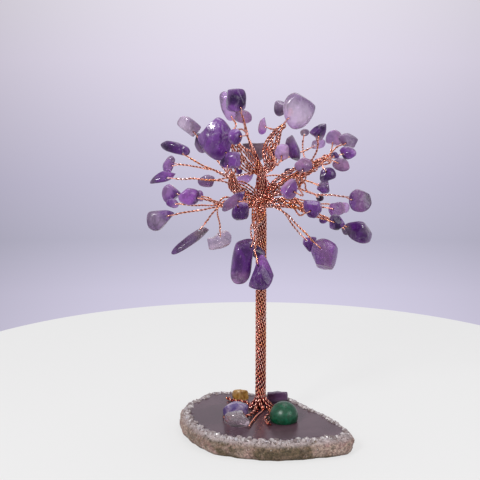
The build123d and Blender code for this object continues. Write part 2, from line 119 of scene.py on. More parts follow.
# How the stones are tumbled and coloured
tumbled_rows = 26
flat_spread = (0.8, 0.8, 2.2)  # of the directions that a stone is worn from, most of all on its faces
flat_reach = (0.62, 0.86)  # where its flats lie, as a share of the reach of the stone
flat_wear = 0.92
chip_flats = 9
sunk_share = 0.3  # of a whole stone's height that is missing below the face of the slice
rim_highlight_share = 0.15  # of paler colour painted near a chip's outline, as a painted rim highlight
rim_highlight_start, rim_highlight_run = 0.66, 0.3

# How the slice is made
columns, face_rows, ledge_rows, side_rows = 900, 12, 9, 34
face_share = 0.885  # of the reach of the slice, where its polished face ends
grain_share = 0.89  # and where its grains begin
face_jags = ((1.1, 4.2, 3), (0.9, 1.3, 8))  # waves with a height, a size and a seed each
side_grit = ((1, 1.1, 34), (0.5, 0.5, 55))
grit_depth = 0.24
side_swell, swell_level, swell_power = 0.062, 0.92, 2.6  # of the side, most at about half its height
earth_patches = ((-21, -11), (-3, 18))  # where the front of the slice is brown, from the left
rim_grains, edge_grains, side_grains = 1100, 190, 1700
big_grain_chance, big_grain_scale, big_grain_shift = 0.2, 2.4, 0.8
grain_clearance, grain_rise = 0.05, 0.7  # over the floor and over the face
rim_colours = ((168, 154, 153), (192, 180, 180), (140, 124, 123), (216, 208, 208))
edge_colours = ((186, 176, 182), (170, 158, 166), (208, 202, 208))
pink_colours = ((172, 146, 136), (156, 126, 120), (206, 190, 182), (138, 108, 100))
olive_colours = ((128, 108, 88), (96, 82, 60), (170, 150, 134), (78, 66, 48))

# The table, the lamps and the camera
table_middle, table_radius, table_points = (-2.3, 40.8), 161.6, 256
table_drop = 0.03
flatten_share = 0.78  # of the table's own plain colour in what the camera sees
lamp_aim = (0, 0, 80)
camera_tilt, camera_turn, camera_lens, camera_sensor = 10.53, 1.07, 86.25, 36

# Colours of the stones as they look, red, green and blue up to 255
palette = {
    "ink": (48, 12, 74), "plum": (88, 36, 118), "violet": (122, 66, 154), "bright": (156, 92, 182),
    "lilac": (172, 126, 190), "lavender": (206, 170, 222), "pearl": (222, 204, 226), "mist": (160, 136, 170),
    "slate": (112, 88, 126), "coal": (50, 28, 66), "mauve": (142, 98, 150), "smoke": (164, 138, 154),
    "taupe": (132, 110, 124), "rose": (196, 150, 196), "glass": (208, 190, 204),
}

slab_outline_shares = (
    (-0.417, 0.357), (-0.345, 0.484), (-0.22, 0.497), (-0.064, 0.456), (0.108, 0.423), (0.198, 0.308),
    (0.305, 0.121), (0.391, -0.02), (0.462, -0.184), (0.497, -0.298), (0.47, -0.38), (0.386, -0.421),
    (0.244, -0.462), (0.109, -0.495), (-0.029, -0.485), (-0.167, -0.446), (-0.31, -0.37),
    (-0.40, -0.24), (-0.47, -0.085), (-0.497, 0.079), (-0.483, 0.243),
)
outline_shares = {
    "pebble": (
        (0.5, -0.06), (0.42, 0.3), (0.1, 0.5), (-0.3, 0.42), (-0.5, 0.04), (-0.4, -0.34), (-0.04, -0.5),
        (0.34, -0.4)),
    "round": (
        (0.5, 0.02), (0.37, 0.37), (0, 0.5), (-0.36, 0.36), (-0.5, -0.02), (-0.36, -0.37), (0, -0.5),
        (0.38, -0.34)),
    "drop": (
        (0.36, -0.02), (0.16, 0.34), (0, 0.5), (-0.14, 0.34), (-0.4, -0.06), (-0.5, -0.3), (-0.16, -0.5),
        (0.26, -0.48), (0.5, -0.28)),
    "block": (
        (0.5, -0.3), (0.48, 0.3), (0.34, 0.48), (-0.34, 0.5), (-0.5, 0.32), (-0.48, -0.26), (-0.3, -0.5),
        (0.36, -0.48)),
    "wedge": (
        (0.5, 0.46), (0.34, 0.5), (-0.4, 0.16), (-0.5, -0.02), (-0.36, -0.14), (0.3, -0.5), (0.46, -0.42)),
    "shield": (
        (0.5, 0.34), (0.34, 0.48), (-0.4, 0.5), (-0.5, 0.34), (-0.3, -0.16), (-0.08, -0.46), (0.12, -0.5),
        (0.34, -0.14)),
    "dome": (
        (0.5, -0.02), (0.44, 0.24), (0.18, 0.5), (-0.14, 0.47), (-0.46, 0.24), (-0.5, 0.02), (-0.2, -0.4),
        (0.08, -0.5), (0.36, -0.36)),
    "moon": (
        (0.34, 0.1), (0.1, 0.42), (-0.16, 0.5), (-0.4, 0.4), (-0.34, 0), (-0.16, -0.3), (0.22, -0.5),
        (0.46, -0.42), (0.5, -0.16)),
    "long": (
        (0.5, 0.08), (0.42, 0.44), (0, 0.5), (-0.4, 0.38), (-0.5, -0.04), (-0.42, -0.44), (0.04, -0.5),
        (0.44, -0.4)),
    "leaf": (
        (0.46, -0.14), (0.34, 0.22), (0.02, 0.5), (-0.28, 0.24), (-0.5, -0.2), (-0.3, -0.5), (0.24, -0.48)),
    "heart": (
        (0.5, 0.02), (0.4, 0.34), (0.1, 0.5), (-0.3, 0.44), (-0.5, 0.16), (-0.46, -0.16), (-0.1, -0.42),
        (0.2, -0.5), (0.44, -0.28)),
    "kidney": (
        (0.5, 0.14), (0.34, 0.46), (0.06, 0.42), (-0.16, 0.16), (-0.42, 0.22), (-0.5, -0.14), (-0.3, -0.46),
        (0.14, -0.5), (0.42, -0.22)),
}

# A cord has a seat on the trunk in degrees, may climb beside the leader, and has a root in shares of the
# root's reach, joints in shares of the crown's radius, and limbs that run from joint to joint.
Cord = namedtuple("Cord", "seat climbs root_shares joints limbs")
cords = {
    "top_left": Cord(225, True, ((0.29, 0.05),), {
        "foot": (-0.09, -0.03, 0.29), "bend": (-0.16, -0.06, 0.37), "fork": (-0.215, -0.07, 0.46),
        "tip": (-0.25, -0.02, 0.57)}, ["foot bend fork tip"]),
    "top_right": Cord(45, True, ((-0.31, -0.08),), {
        "foot": (0.075, 0.01, 0.31), "bend": (0.08, 0.02, 0.45), "fork": (0.14, 0.0, 0.60),
        "tip": (0.19, -0.02, 0.67)}, ["foot bend fork tip"]),
    "back": Cord(90, False, ((-0.13, -0.40), (-0.27, -0.63), (-0.70, -0.68)), {
        "foot": (0.0, 0.12, 0.06), "bend": (0.02, 0.28, 0.14), "fork": (0.0, 0.42, 0.22)},
        ["foot bend fork"]),
    "left_upper": Cord(135, False, ((-0.05, -0.46), (-0.13, -0.75), (-0.21, -1.12)), {
        "foot": (-0.08, 0.06, 0.03), "bend": (-0.16, 0.03, 0.09), "fork": (-0.245, -0.03, 0.14),
        "tip": (-0.25, -0.09, 0.25)}, ["foot bend fork tip"]),
    "left_lower": Cord(180, False, ((0.22, -0.40), (0.1, -0.70), (0.17, -1.05)), {
        "foot": (-0.085, -0.03, -0.02), "bend": (-0.16, -0.10, -0.02), "fork": (-0.25, -0.17, -0.01),
        "tip": (-0.33, -0.18, -0.04)}, ["foot bend fork tip"]),
    "front": Cord(270, False, ((0.12, 0.25),), {
        "foot": (-0.01, -0.11, -0.035), "bend": (-0.03, -0.18, -0.13), "tip": (-0.07, -0.26, -0.26)},
        ["foot bend tip"]),
    "right_upper": Cord(0, False, ((-0.30, 0.23), (-0.54, 0.33), (-0.65, 0.48)), {
        "foot": (0.08, -0.01, 0.07), "bend": (0.20, -0.05, 0.165), "fork": (0.33, -0.06, 0.24),
        "knee": (0.46, -0.06, 0.31), "tip": (0.57, -0.04, 0.38), "knot": (0.335, -0.05, 0.11)},
        ["foot bend fork knee tip", "foot bend fork knot"]),
    "right_lower": Cord(315, False, ((-0.09, 0.38), (-0.05, 0.60)), {
        "foot": (0.08, -0.05, -0.02), "bend": (0.18, -0.09, 0.0), "fork": (0.29, -0.11, -0.03),
        "tip": (0.39, -0.13, -0.09)}, ["foot bend fork tip"]),
}
core_joints = {"crook": (-0.03, 0.0, 0.34), "fork": (-0.06, 0.0, 0.41)}

# The chips under the cord and the joint that their wires come from, each with its node, outline, place,
# size and tilt as in the part's source, then its colours at two ends and the picture's heading from
# the first end to the second, in degrees from the right.
Chip = namedtuple("Chip", "node outline place_shares size_shares tilt colours heading")
sprigs = {
    ("core", "fork"): [
        ("top_cube", "block", (-0.225, -0.15, 0.885), (0.44, 0.5, 0.36), (15, 4), "violet ink plum", 90),
        ("top_loop", "pebble", (-0.165, 0.36, 0.74), (0.44, 0.31, 0.24), (10, -20), "mist rose rose", 0),
        ("smoky", "shield", (-0.06, 0.24, 0.43), (0.60, 0.48, 0.34), (5, -8), "smoke smoke taupe", 80),
    ],
    ("top_left", "bend"): [
        ("small_upper", "pebble", (-0.20, 0.22, 0.265), (0.17, 0.19, 0.14), (0, 20), "violet plum", 0),
    ],
    ("top_left", "fork"): [
        ("shadow", "leaf", (-0.53, 0.3, 0.51), (0.34, 0.46, 0.24), (30, 38), "slate ink", 70),
    ],
    ("top_left", "tip"): [
        ("top_pale", "long", (-0.3, 0.15, 0.83), (0.27, 0.67, 0.2), (-20, 22), "lavender lavender mist", 180),
        ("top_round", "round", (-0.235, -0.5, 0.56), (0.33, 0.33, 0.24), (25, 15), "plum violet", 135),
    ],
    ("top_right", "bend"): [
        ("half_moon", "moon", (0.27, 0.1, 0.46), (0.33, 0.60, 0.28), (-15, 8), "plum violet mist", 110),
        ("bright_square", "block", (0.18, -0.38, 0.43), (0.30, 0.34, 0.22), (12, -4), "rose lavender", 100),
        ("small_upper", "pebble", (0.085, 0.3, 0.43), (0.18, 0.2, 0.14), (-20, 30), "plum ink", 0),
    ],
    ("top_right", "fork"): [
        ("top_leaf", "leaf", (0.01, -0.3, 0.66), (0.18, 0.37, 0.15), (20, -4), "bright rose lavender", 90),
    ],
    ("top_right", "tip"): [
        ("top_drop", "heart", (0.31, -0.1, 0.78), (0.69, 0.72, 0.4), (-10, -30), "lavender pearl mist", 60),
        ("small_upper", "leaf", (0.165, 0.25, 0.82), (0.35, 0.35, 0.22), (-25, 40), "slate mist", 90),
    ],
    ("back", "fork"): [
        ("small_back", "leaf", (-0.14, 0.7, 0.20), (0.28, 0.42, 0.18), (10, -50), "lavender lilac", 90),
        ("small_back", "block", (0.55, 0.62, 0.12), (0.32, 0.32, 0.2), (-20, 8), "violet mist", 90),
        ("small_back", "long", (0.50, 0.6, 0.50), (0.34, 0.22, 0.16), (0, 8), "pearl lavender", 0),
        ("small_back", "pebble", (-0.485, 0.6, 0.17), (0.42, 0.30, 0.2), (-15, 0), "mauve mist", 90),
    ],
    ("left_upper", "fork"): [
        ("outer_grey", "long", (-0.64, 0.14, 0.66), (0.53, 0.33, 0.2), (20, -40), "mist pearl", 180),
        ("long_indigo", "long", (-0.76, -0.12, 0.465), (0.70, 0.25, 0.2), (-10, -15), "ink plum plum", 0),
        ("left_pale", "moon", (-0.82, 0.22, 0.32), (0.36, 0.38, 0.22), (20, -60), "violet lilac mist", 45),
        ("left_pointed", "leaf", (-0.88, -0.05, 0.2), (0.27, 0.6, 0.22), (10, 118),
         "slate violet bright", 30),
    ],
    ("left_upper", "tip"): [
        ("domed", "dome", (-0.40, -0.3, 0.54), (0.71, 0.93, 0.5), (18, 6), "plum violet violet", 100),
        ("inner_left", "pebble", (-0.28, -0.47, 0.35), (0.47, 0.36, 0.28), (-10, 8), "ink violet violet", 0),
    ],
    ("left_lower", "bend"): [
        ("finger", "long", (-0.245, -0.55, -0.01), (0.64, 0.23, 0.2), (15, 33), "slate mauve plum", 30),
        ("inner_round", "dome", (-0.18, -0.36, -0.1), (0.38, 0.44, 0.26), (10, 160), "plum plum violet", 90),
    ],
    ("left_lower", "fork"): [
        ("left_round", "round", (-0.80, -0.28, 0.06), (0.42, 0.40, 0.26), (15, 10), "violet lilac", 135),
        ("left_bright", "pebble", (-0.64, -0.5, 0.03), (0.47, 0.36, 0.26), (20, -8),
         "plum bright bright", 160),
    ],
    ("left_lower", "tip"): [
        ("small_left", "pebble", (-0.79, -0.4, -0.03), (0.28, 0.2, 0.14), (0, -12), "violet lilac", 0),
        ("small_left", "pebble", (-0.55, 0.1, 0.035), (0.18, 0.26, 0.15), (15, 0), "mist lilac", 0),
        ("teardrop", "drop", (-0.9, -0.22, -0.165), (0.46, 0.64, 0.3), (-15, -62), "slate mist violet", 50),
        ("slender", "long", (-0.64, -0.2, -0.37), (0.98, 0.22, 0.2), (12, 33), "plum slate taupe", 35),
        ("clear", "kidney", (-0.37, 0.12, -0.36), (0.56, 0.42, 0.24), (8, 8), "glass glass", 30),
    ],
    ("front", "tip"): [
        ("hanging_long", "long", (-0.17, -0.42, -0.56), (0.44, 1.0, 0.32), (12, -8), "mauve plum plum", 100),
        ("hanging_slanted", "long", (-0.055, -0.22, -0.46), (0.5, 0.26, 0.2), (0, -38), "plum ink", 150),
        ("hanging_drop", "drop", (0.0, -0.5, -0.66), (0.53, 0.76, 0.36), (-8, 0), "plum plum bright", 60),
    ],
    ("right_upper", "bend"): [
        ("inner_right", "pebble", (0.37, -0.5, 0.315), (0.38, 0.32, 0.24), (10, -15), "mauve rose", 90),
        ("inner_violet", "leaf", (0.255, -0.58, 0.1), (0.36, 0.44, 0.24), (15, -20),
         "mauve bright rose", 110),
        ("small_upper", "pebble", (0.24, 0.3, 0.257), (0.19, 0.15, 0.12), (0, 0), "ink plum", 0),
    ],
    ("right_upper", "fork"): [
        ("small_upper", "pebble", (0.38, 0.42, 0.60), (0.21, 0.17, 0.14), (0, 10), "taupe mist", 0),
    ],
    ("right_upper", "knee"): [
        ("upper_triangle", "wedge", (0.49, -0.2, 0.61), (0.36, 0.38, 0.26), (20, -6), "mist plum ink", 90),
        ("right_inner_dark", "pebble", (0.58, -0.32, 0.23), (0.38, 0.28, 0.2), (15, 20), "ink plum", 90),
        ("small_right", "pebble", (0.50, 0.3, 0.33), (0.18, 0.22, 0.14), (0, 0), "plum violet", 0),
    ],
    ("right_upper", "tip"): [
        ("right_mauve", "pebble", (0.70, 0.15, 0.32), (0.38, 0.30, 0.22), (15, -8), "mauve rose mist", 90),
        ("right_violet", "pebble", (0.76, -0.14, 0.42), (0.38, 0.28, 0.2), (-15, -8), "ink violet lilac", 50),
        ("right_grey", "dome", (0.76, 0.12, 0.53), (0.46, 0.33, 0.24), (10, -10), "mauve mist slate", 10),
        ("right_lavender", "pebble", (0.635, 0.34, 0.55), (0.38, 0.38, 0.24), (-10, 8), "lavender rose", 0),
        ("small_right", "pebble", (0.65, -0.3, 0.40), (0.18, 0.15, 0.12), (0, 0), "ink plum", 0),
    ],
    ("right_upper", "knot"): [
        ("outer_round", "round", (0.875, -0.05, 0.0), (0.54, 0.57, 0.36), (-10, 12),
         "violet mauve slate", 10),
        ("small_right", "pebble", (0.52, 0.2, 0.02), (0.18, 0.15, 0.12), (0, 0), "ink coal", 0),
    ],
    ("right_lower", "foot"): [
        ("lower_small", "wedge", (0.44, -0.1, -0.40), (0.34, 0.32, 0.2), (15, 100), "plum violet", 60),
        ("lower_heart", "heart", (0.58, -0.18, -0.49), (0.62, 0.73, 0.34), (15, 0),
         "violet mauve bright", 20),
    ],
    ("right_lower", "fork"): [
        ("small_right", "pebble", (0.74, 0.32, -0.065), (0.24, 0.25, 0.16), (0, 0), "rose lavender", 0),
        ("right_purple", "block", (0.67, 0.05, -0.08), (0.38, 0.31, 0.24), (12, 10), "bright lilac rose", 10),
        ("right_triangle", "wedge", (0.45, -0.5, -0.07), (0.42, 0.40, 0.24), (10, -35), "plum violet", 90),
    ],
    ("right_lower", "tip"): [
        ("lower_dark", "dome", (0.86, -0.2, -0.28), (0.66, 0.5, 0.34), (-15, -14), "slate plum slate", 20),
        ("small_right", "pebble", (0.77, 0.12, -0.27), (0.27, 0.22, 0.16), (0, 0), "slate mist", 0),
        ("right_dark", "pebble", (0.67, -0.32, -0.20), (0.38, 0.34, 0.24), (20, -10), "plum ink violet", 10),
        ("small_right", "pebble", (0.555, -0.1, -0.175), (0.2, 0.17, 0.13), (0, 20), "plum violet", 0),
    ],
}

# The chips by the slot of their material. Those that aren't named here are amethyst_violet.
slots = {
    "amethyst_dark": "top_cube upper_triangle half_moon shadow top_round long_indigo hanging_long "
                     "hanging_slanted lower_dark right_dark right_inner_dark right_violet",
    "amethyst_pale": "top_pale top_loop top_leaf top_drop left_pale lower_heart right_lavender small_back",
    "amethyst_grey": "outer_grey smoky finger teardrop slender outer_round right_mauve right_grey "
                     "inner_right left_pointed small_left",
    "amethyst_clear": "clear",
}

# The stones on the slice: outline, place, size and turn as in the part's source, then how square their
# sides are, their worn flats and how bumpy they are
Stone = namedtuple("Stone", "outline place_shares size_shares turn fullness flats bump_share")
stones = {
    "sodalite": Stone("pebble", (-0.142, -0.131), (0.91, 0.57, 0.49), 12, 2.3, 9, 0.03),
    "quartz": Stone("pebble", (-0.135, -0.311), (0.92, 0.64, 0.51), -10, 2.4, 10, 0.03),
    "citrine": Stone("block", (-0.121, 0.18), (0.62, 0.47, 0.38), 8, 2.6, 9, 0.03),
    "fluorite": Stone("block", (0.1, 0.138), (0.77, 0.38, 0.4), 4, 6.0, 2, 0.01),
    "aventurine": Stone("round", (0.132, -0.239), (1, 1, 0.7), 0, 2.0, 0, 0.004),
}


def linear(colour):
    """A colour of 0 to 255 as a shader needs it."""
    return tuple(((c / 255 + 0.055) / 1.055) ** 2.4 for c in colour)


def eased(value):
    """A value between 0 and 1 with a soft start and a soft end."""
    value = np.clip(value, 0, 1)
    return value * value * (3 - 2 * value)


def spot(shares):
    """A place in the crown, slid along its sight line from the viewer's eye."""
    across_share, depth_share, height_share = shares
    depth = depth_share * crown_radius
    slide = 1 + depth / eye_distance
    height = junction_height + crown_rise + height_share * crown_radius
    return Vector((across_share * crown_radius * slide, depth, eye_height + (height - eye_height) * slide))


def outward(turn):
    """A level unit direction."""
    return Vector((cos(turn), sin(turn), 0))


def waves(point, *rows):
    """Smooth noise at a point. A row has the height and the size of its waves, and a seed."""
    return sum(height * noise.noise(Vector(point) / size + Vector((seed, seed * 0.7, -seed)))
               for height, size, seed in rows)


# Meshes

def mesh_object(name, vertices, faces, material, smooth=True):
    """A mesh from vertices in millimetres."""
    mesh = bpy.data.meshes.new(name)
    mesh.from_pydata([tuple(MM * c for c in v) for v in vertices], [], [tuple(f) for f in faces])
    mesh.update()
    piece = bpy.data.objects.new(name, mesh)
    bpy.context.scene.collection.objects.link(piece)
    mesh.materials.append(material)
    if smooth:
        mesh.shade_smooth()
    return piece


def painted(piece, name, values):
    """Gives each vertex a number, or a colour, that the materials read by name."""
    values = np.asarray(values, float)
    if values.ndim == 1:
        piece.data.attributes.new(name, "FLOAT", "POINT").data.foreach_set("value", values)
    else:
        colours = np.c_[values, np.ones(len(values))]
        piece.data.attributes.new(name, "FLOAT_COLOR", "POINT").data.foreach_set("color", colours.ravel())


def placed(piece, slot, *nodes):
    """Makes a piece part of the tree, in place of its nodes."""
    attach(piece, "root")
    if nodes:
        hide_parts(*nodes)


def joined(parts):
    """One list of vertices, faces and values from several."""
    points, faces, values, start = [], [], [], 0
    for its_points, its_faces, its_values in parts:
        points.append(its_points)
        values.append(its_values)
        faces += [[start + i for i in face] for face in its_faces]
        start += len(its_points)
    return np.concatenate(points), faces, np.concatenate(values)


# Paths

def evenly(rows, step):
    """The same path with its points an even step apart. What stands after the coordinates goes along."""
    rows = np.asarray(rows, float)
    lengths = along(rows)
    places = np.linspace(0, lengths[-1], max(3, ceil(lengths[-1] / step)))
    return np.stack([np.interp(places, lengths, column) for column in rows.T], 1)


def along(rows):
    """The length from the start of the path to each of its points."""
    return np.r_[0, np.cumsum(np.linalg.norm(np.diff(rows[:, :3], axis=0), axis=1))]


def smoothed(points, step, closed=False):
    """A smooth curve through the points, as points an even step apart."""
    points = [np.asarray(p, float) for p in points]
    if closed:
        points = points[-1:] + points + points[:2]
    else:
        points = [2 * points[0] - points[1]] + points + [2 * points[-1] - points[-2]]
    result = []
    for before, start, end, after in zip(points, points[1:], points[2:], points[3:]):
        runs = ((before, start), (start, end), (end, after))
        knots = np.r_[0, np.cumsum([max(np.linalg.norm(b - a), 1e-6) ** 0.5 for a, b in runs])]
        count = max(2, ceil(np.linalg.norm(end - start) / step))
        for t in np.linspace(knots[1], knots[2], count, endpoint=False):
            level = [(a * (knots[i + 1] - t) + b * (t - knots[i])) / (knots[i + 1] - knots[i])
                     for i, (a, b) in enumerate(runs)]
            level = [(level[i] * (knots[i + 2] - t) + level[i + 1] * (t - knots[i]))
                     / (knots[i + 2] - knots[i]) for i in range(2)]
            result.append((level[0] * (knots[2] - t) + level[1] * (t - knots[1])) / (knots[2] - knots[1]))
    result.append(points[-2])
    return evenly(result, step)


def directions(path):
    """Unit directions along a path."""
    tangents = np.gradient(path, axis=0)
    return tangents / np.linalg.norm(tangents, axis=1)[:, None]


def cross_directions(path):
    """Two steady unit directions across a path, at each of its points."""
    tangents = directions(path)
    side = np.cross(tangents[0], side_hint)
    sides = []
    for tangent in tangents:
        side = side - tangent * (side @ tangent)
        side /= np.linalg.norm(side)
        sides.append(side)
    return np.array(sides), np.cross(tangents, sides)


def round_about(side, other, turn):
    """Unit directions across a path at the given turns."""
    return np.cos(turn)[:, None] * side + np.sin(turn)[:, None] * other


def tube(path, widths, sides=wire_sides):
    """A closed tube along a path, with its width at each point."""
    side, other = cross_directions(path)
    radii = np.broadcast_to(widths, len(path))[:, None] / 2
    turns = [np.full(len(path), 2 * pi * k / sides) for k in range(sides)]
    points = np.stack([path + radii * round_about(side, other, turn) for turn in turns], 1)
    rings = np.arange(len(path) - 1)[:, None] * sides
    here = np.arange(sides)[None, :]
    there = (here + 1) % sides
    faces = np.stack([rings + here, rings + there, rings + there + sides, rings + here + sides], -1)
    faces = faces.reshape(-1, 4).tolist()
    last = (len(path) - 1) * sides
    faces += [list(range(sides))[::-1], [last + i for i in range(sides)]]
    return points.reshape(-1, 3), faces


# Chips

def outline_points(name, width, height, count):
    """The rounded outline of a stone, as wide and high as its corners are apart."""
    corners = np.array(outline_shares[name]) * (width, height)
    points = []
    for before, corner, after in zip(np.roll(corners, 1, 0), corners, np.roll(corners, -1, 0)):
        start, end = (before + corner) / 2, (corner + after) / 2
        for t in np.linspace(0, 1, count, endpoint=False):
            points.append((1 - t) ** 2 * start + 2 * t * (1 - t) * corner + t * t * end)
    return fitted(np.array(points), corners.min(0), corners.max(0))


def drawn_in(points):
    """The points, moved towards their middle until they lie inside the part's own box."""
    points = np.asarray(points)
    middle = points.mean(0)
    low, high = np.array(cad_box) / MM
    room = np.r_[(high - middle) / (points.max(0) - middle), (middle - low) / (middle - points.min(0))]
    return middle + (points - middle) * min(1, room.min() - 0.005)


def fitted(points, low, high):
    """The points stretched to reach from a lowest to a highest corner."""
    start, end = points.min(0), points.max(0)
    return low + (points - start) / (end - start) * (high - low)


def tumbled(ring, thickness, draws, flats, fullness=2.8, bump_share=0.03):
    """A closed tumbled stone round an outline: rounded sides, worn flats and gentle bumps."""
    count, rows = len(ring), tumbled_rows
    size = np.ptp(ring, axis=0).max()
    grid = []
    for row in range(1, rows):
        angle = pi * (row / rows - 0.5)
        lift = abs(sin(angle)) ** (2 / fullness) * (1 if angle > 0 else -1)
        grid.append(np.c_[ring * abs(cos(angle)) ** (2 / fullness), np.full(count, lift * thickness / 2)])
    grid = np.array(grid)
    for flat in range(flats):
        direction = np.array([draws.gauss(0, spread) for spread in flat_spread])
        direction /= np.linalg.norm(direction)
        reach = grid @ direction
        over = np.clip(reach - reach.max() * draws.uniform(*flat_reach), 0, None)
        grid -= over[..., None] * flat_wear * direction
    seed = draws.uniform(0, 90)
    bumps = [waves(p, (1, size / 2.4, seed), (0.35, size / 7, seed)) for p in grid.reshape(-1, 3)]
    away = grid / (np.linalg.norm(grid, axis=2)[..., None] + 1e-9)
    grid += away * (np.array(bumps) * bump_share * size).reshape(rows - 1, count, 1)
    around = (np.roll(grid, 1, 1) + np.roll(grid, -1, 1)) / 2
    up = grid.copy()
    up[1:-1] = (grid[:-2] + grid[2:]) / 2
    grid = grid * 0.4 + around * 0.3 + up * 0.3
    low, high = np.r_[ring.min(0), -thickness / 2], np.r_[ring.max(0), thickness / 2]
    grid = fitted(grid.reshape(-1, 3), low, high).reshape(rows - 1, count, 3)
    foot, head = grid[0].mean(0), grid[-1].mean(0)
    foot[2], head[2] = low[2], high[2]
    faces = []
    for row in range(rows - 2):
        a, b = 1 + row * count, 1 + (row + 1) * count
        faces += [(a + i, a + (i + 1) % count, b + (i + 1) % count, b + i) for i in range(count)]
    last = 1 + (rows - 2) * count
    top = 1 + (rows - 1) * count
    for i in range(count):
        j = (i + 1) % count
        faces += [(0, 1 + j, 1 + i), (last + i, last + j, top)]
    return np.concatenate([[foot], grid.reshape(-1, 3), [head]]), faces


def edge_distance(corners, direction):
    """How far the outline lies from its middle in a direction of its plane."""
    reach = 0
    for one, other in zip(corners, np.roll(corners, -1, 0)):
        run = other - one
        cross = direction[0] * run[1] - direction[1] * run[0]
        if cross:
            distance = (one[0] * run[1] - one[1] * run[0]) / cross
            share = (one[0] * direction[1] - one[1] * direction[0]) / cross
            if 0 <= share <= 1 and distance > reach:
                reach = distance
    return reach


class Seat:
    """Where a chip stands, where it is drilled and where its wire is twisted together."""

    def __init__(self, chip, joint, joint_place):
        self.chip, self.joint = chip, joint
        self.width, self.height, self.thickness = (share * longest_chip for share in chip.size_shares)
        turn, roll = chip.tilt
        facing_viewer = Matrix(((1, 0, 0), (0, 0, -1), (0, 1, 0)))
        turned = Matrix.Rotation(radians(-roll), 3, "Y") @ Matrix.Rotation(radians(turn), 3, "Z")
        self.axes = turned @ facing_viewer
        self.middle = spot(chip.place_shares)
        corners = np.array(outline_shares[chip.outline]) * (self.width, self.height)
        to_joint = self.axes.transposed() @ (joint_place - self.middle)
        self.direction = np.array((to_joint.x, to_joint.y)) / Vector((to_joint.x, to_joint.y)).length
        edge = edge_distance(corners, self.direction)
        self.hole_reach = edge - min(hole_inset, edge / 2)
        self.stem_reach = edge + stem_gap

    def world(self, x, y, z):
        """A place along the chip's own axes, in the frame of the part."""
        return np.array(self.middle + self.axes @ Vector((x, y, z)))

    def on_line(self, reach, z):
        """A point over the line from the chip's middle to its hole."""
        return self.world(self.direction[0] * reach, self.direction[1] * reach, z)


def drilled(piece, seat):
    """Cuts the hole for the wire through a chip."""
    sides = 16
    turns = [2 * pi * k / sides for k in range(sides)]
    across = hole_diameter / 2 * np.array([(cos(turn), sin(turn)) for turn in turns])
    hole = seat.direction * seat.hole_reach
    ends = [seat.world(*(hole + c), z) for z in (-seat.thickness, seat.thickness) for c in across]
    faces = [(i, (i + 1) % sides, sides + (i + 1) % sides, sides + i) for i in range(sides)]
    faces += [tuple(range(sides))[::-1], tuple(range(sides, 2 * sides))]
    cutter = mesh_object("cutter", ends, faces, piece.data.materials[0])
    cut = piece.modifiers.new("hole", "BOOLEAN")
    cut.operation, cut.solver, cut.object = "DIFFERENCE", "EXACT", cutter
    bpy.context.view_layer.update()
    mesh = bpy.data.meshes.new_from_object(piece.evaluated_get(bpy.context.evaluated_depsgraph_get()))
    piece.modifiers.clear()
    piece.data = mesh
    bpy.data.objects.remove(cutter)


def tint(piece, seat, draws):
    """Paints a chip from its first colour to its last along its heading in the picture, with a painted rim
    highlight of pale lavender near its outline.
    """
    colours = np.array([linear(palette[name]) for name in seat.chip.colours.split()])
    heading = radians(seat.chip.heading)
    places = np.zeros(len(piece.data.vertices) * 3)
    piece.data.vertices.foreach_get("co", places)
    places = places.reshape(-1, 3) / MM - np.array(seat.middle)
    reach = places @ np.array((cos(heading), 0, sin(heading)))
    seed = draws.uniform(0, 90)
    clouds = np.array([waves(p, (1, 3.4, seed), (0.5, 1.3, seed)) for p in places])
    share = np.clip((reach - reach.min()) / np.ptp(reach) + 0.2 * clouds, 0, 1) * (len(colours) - 1)
    step = np.minimum(share.astype(int), len(colours) - 2)
    blend = eased((share - step - 0.5) * 1.7 + 0.5)[:, None]
    paint = colours[step] * (1 - blend) + colours[step + 1] * blend
    flat = places @ np.array(seat.axes)
    edge_share = np.hypot(flat[:, 0] / seat.width, flat[:, 1] / seat.height) * 2
    # painted rim highlight: lavender blended in towards the chip's outline
    painted_rim_highlight = rim_highlight_share * eased((edge_share - rim_highlight_start) / rim_highlight_run)[:, None]
    painted(piece, "tint", paint * (1 - painted_rim_highlight) + np.array(linear(palette["lavender"])) * painted_rim_highlight)


# Wires

def upper_hull(points):
    """The taut line over points of reach and height, from the first to the last."""
    hull = []
    for point in sorted(points):
        while len(hull) > 1:
            (x0, z0), (x1, z1) = hull[-2], hull[-1]
            if (x1 - x0) * (point[1] - z0) < (z1 - z0) * (point[0] - x0):
                break
            hull.pop()
        hull.append(point)
    return hull


def loop_path(seat, tree):
    """The wire from the twist over one face of the chip, through its hole and back under the other."""
    lift = wire_diameter / 2 + wire_clearance
    sides = []
    for face in (1, -1):
        points = [(seat.stem_reach, wire_diameter / 2)]
        for reach in np.linspace(seat.hole_reach, seat.stem_reach - 0.3, 14):
            start = Vector(seat.on_line(reach, face * seat.thickness)) * MM
            hit = tree.ray_cast(start, seat.axes @ Vector((0, 0, -face)))[0]
            if hit is not None:
                height = face * (seat.axes.transposed() @ (hit / MM - seat.middle)).z
                if height > 0:
                    points.append((reach, height + lift))
        if len(points) == 1:
            points.append((seat.hole_reach, seat.thickness / 2 + lift))
        sides.append([seat.on_line(reach, face * z) for reach, z in upper_hull(points)])
    route = sides[0][::-1] + sides[1]
    for turn in range(3):
        cut = [route[0]]
        for one, other in zip(route, route[1:]):
            cut += [one * 0.75 + other * 0.25, one * 0.25 + other * 0.75]
        route = cut + [route[-1]]
    return evenly(route, loop_step)


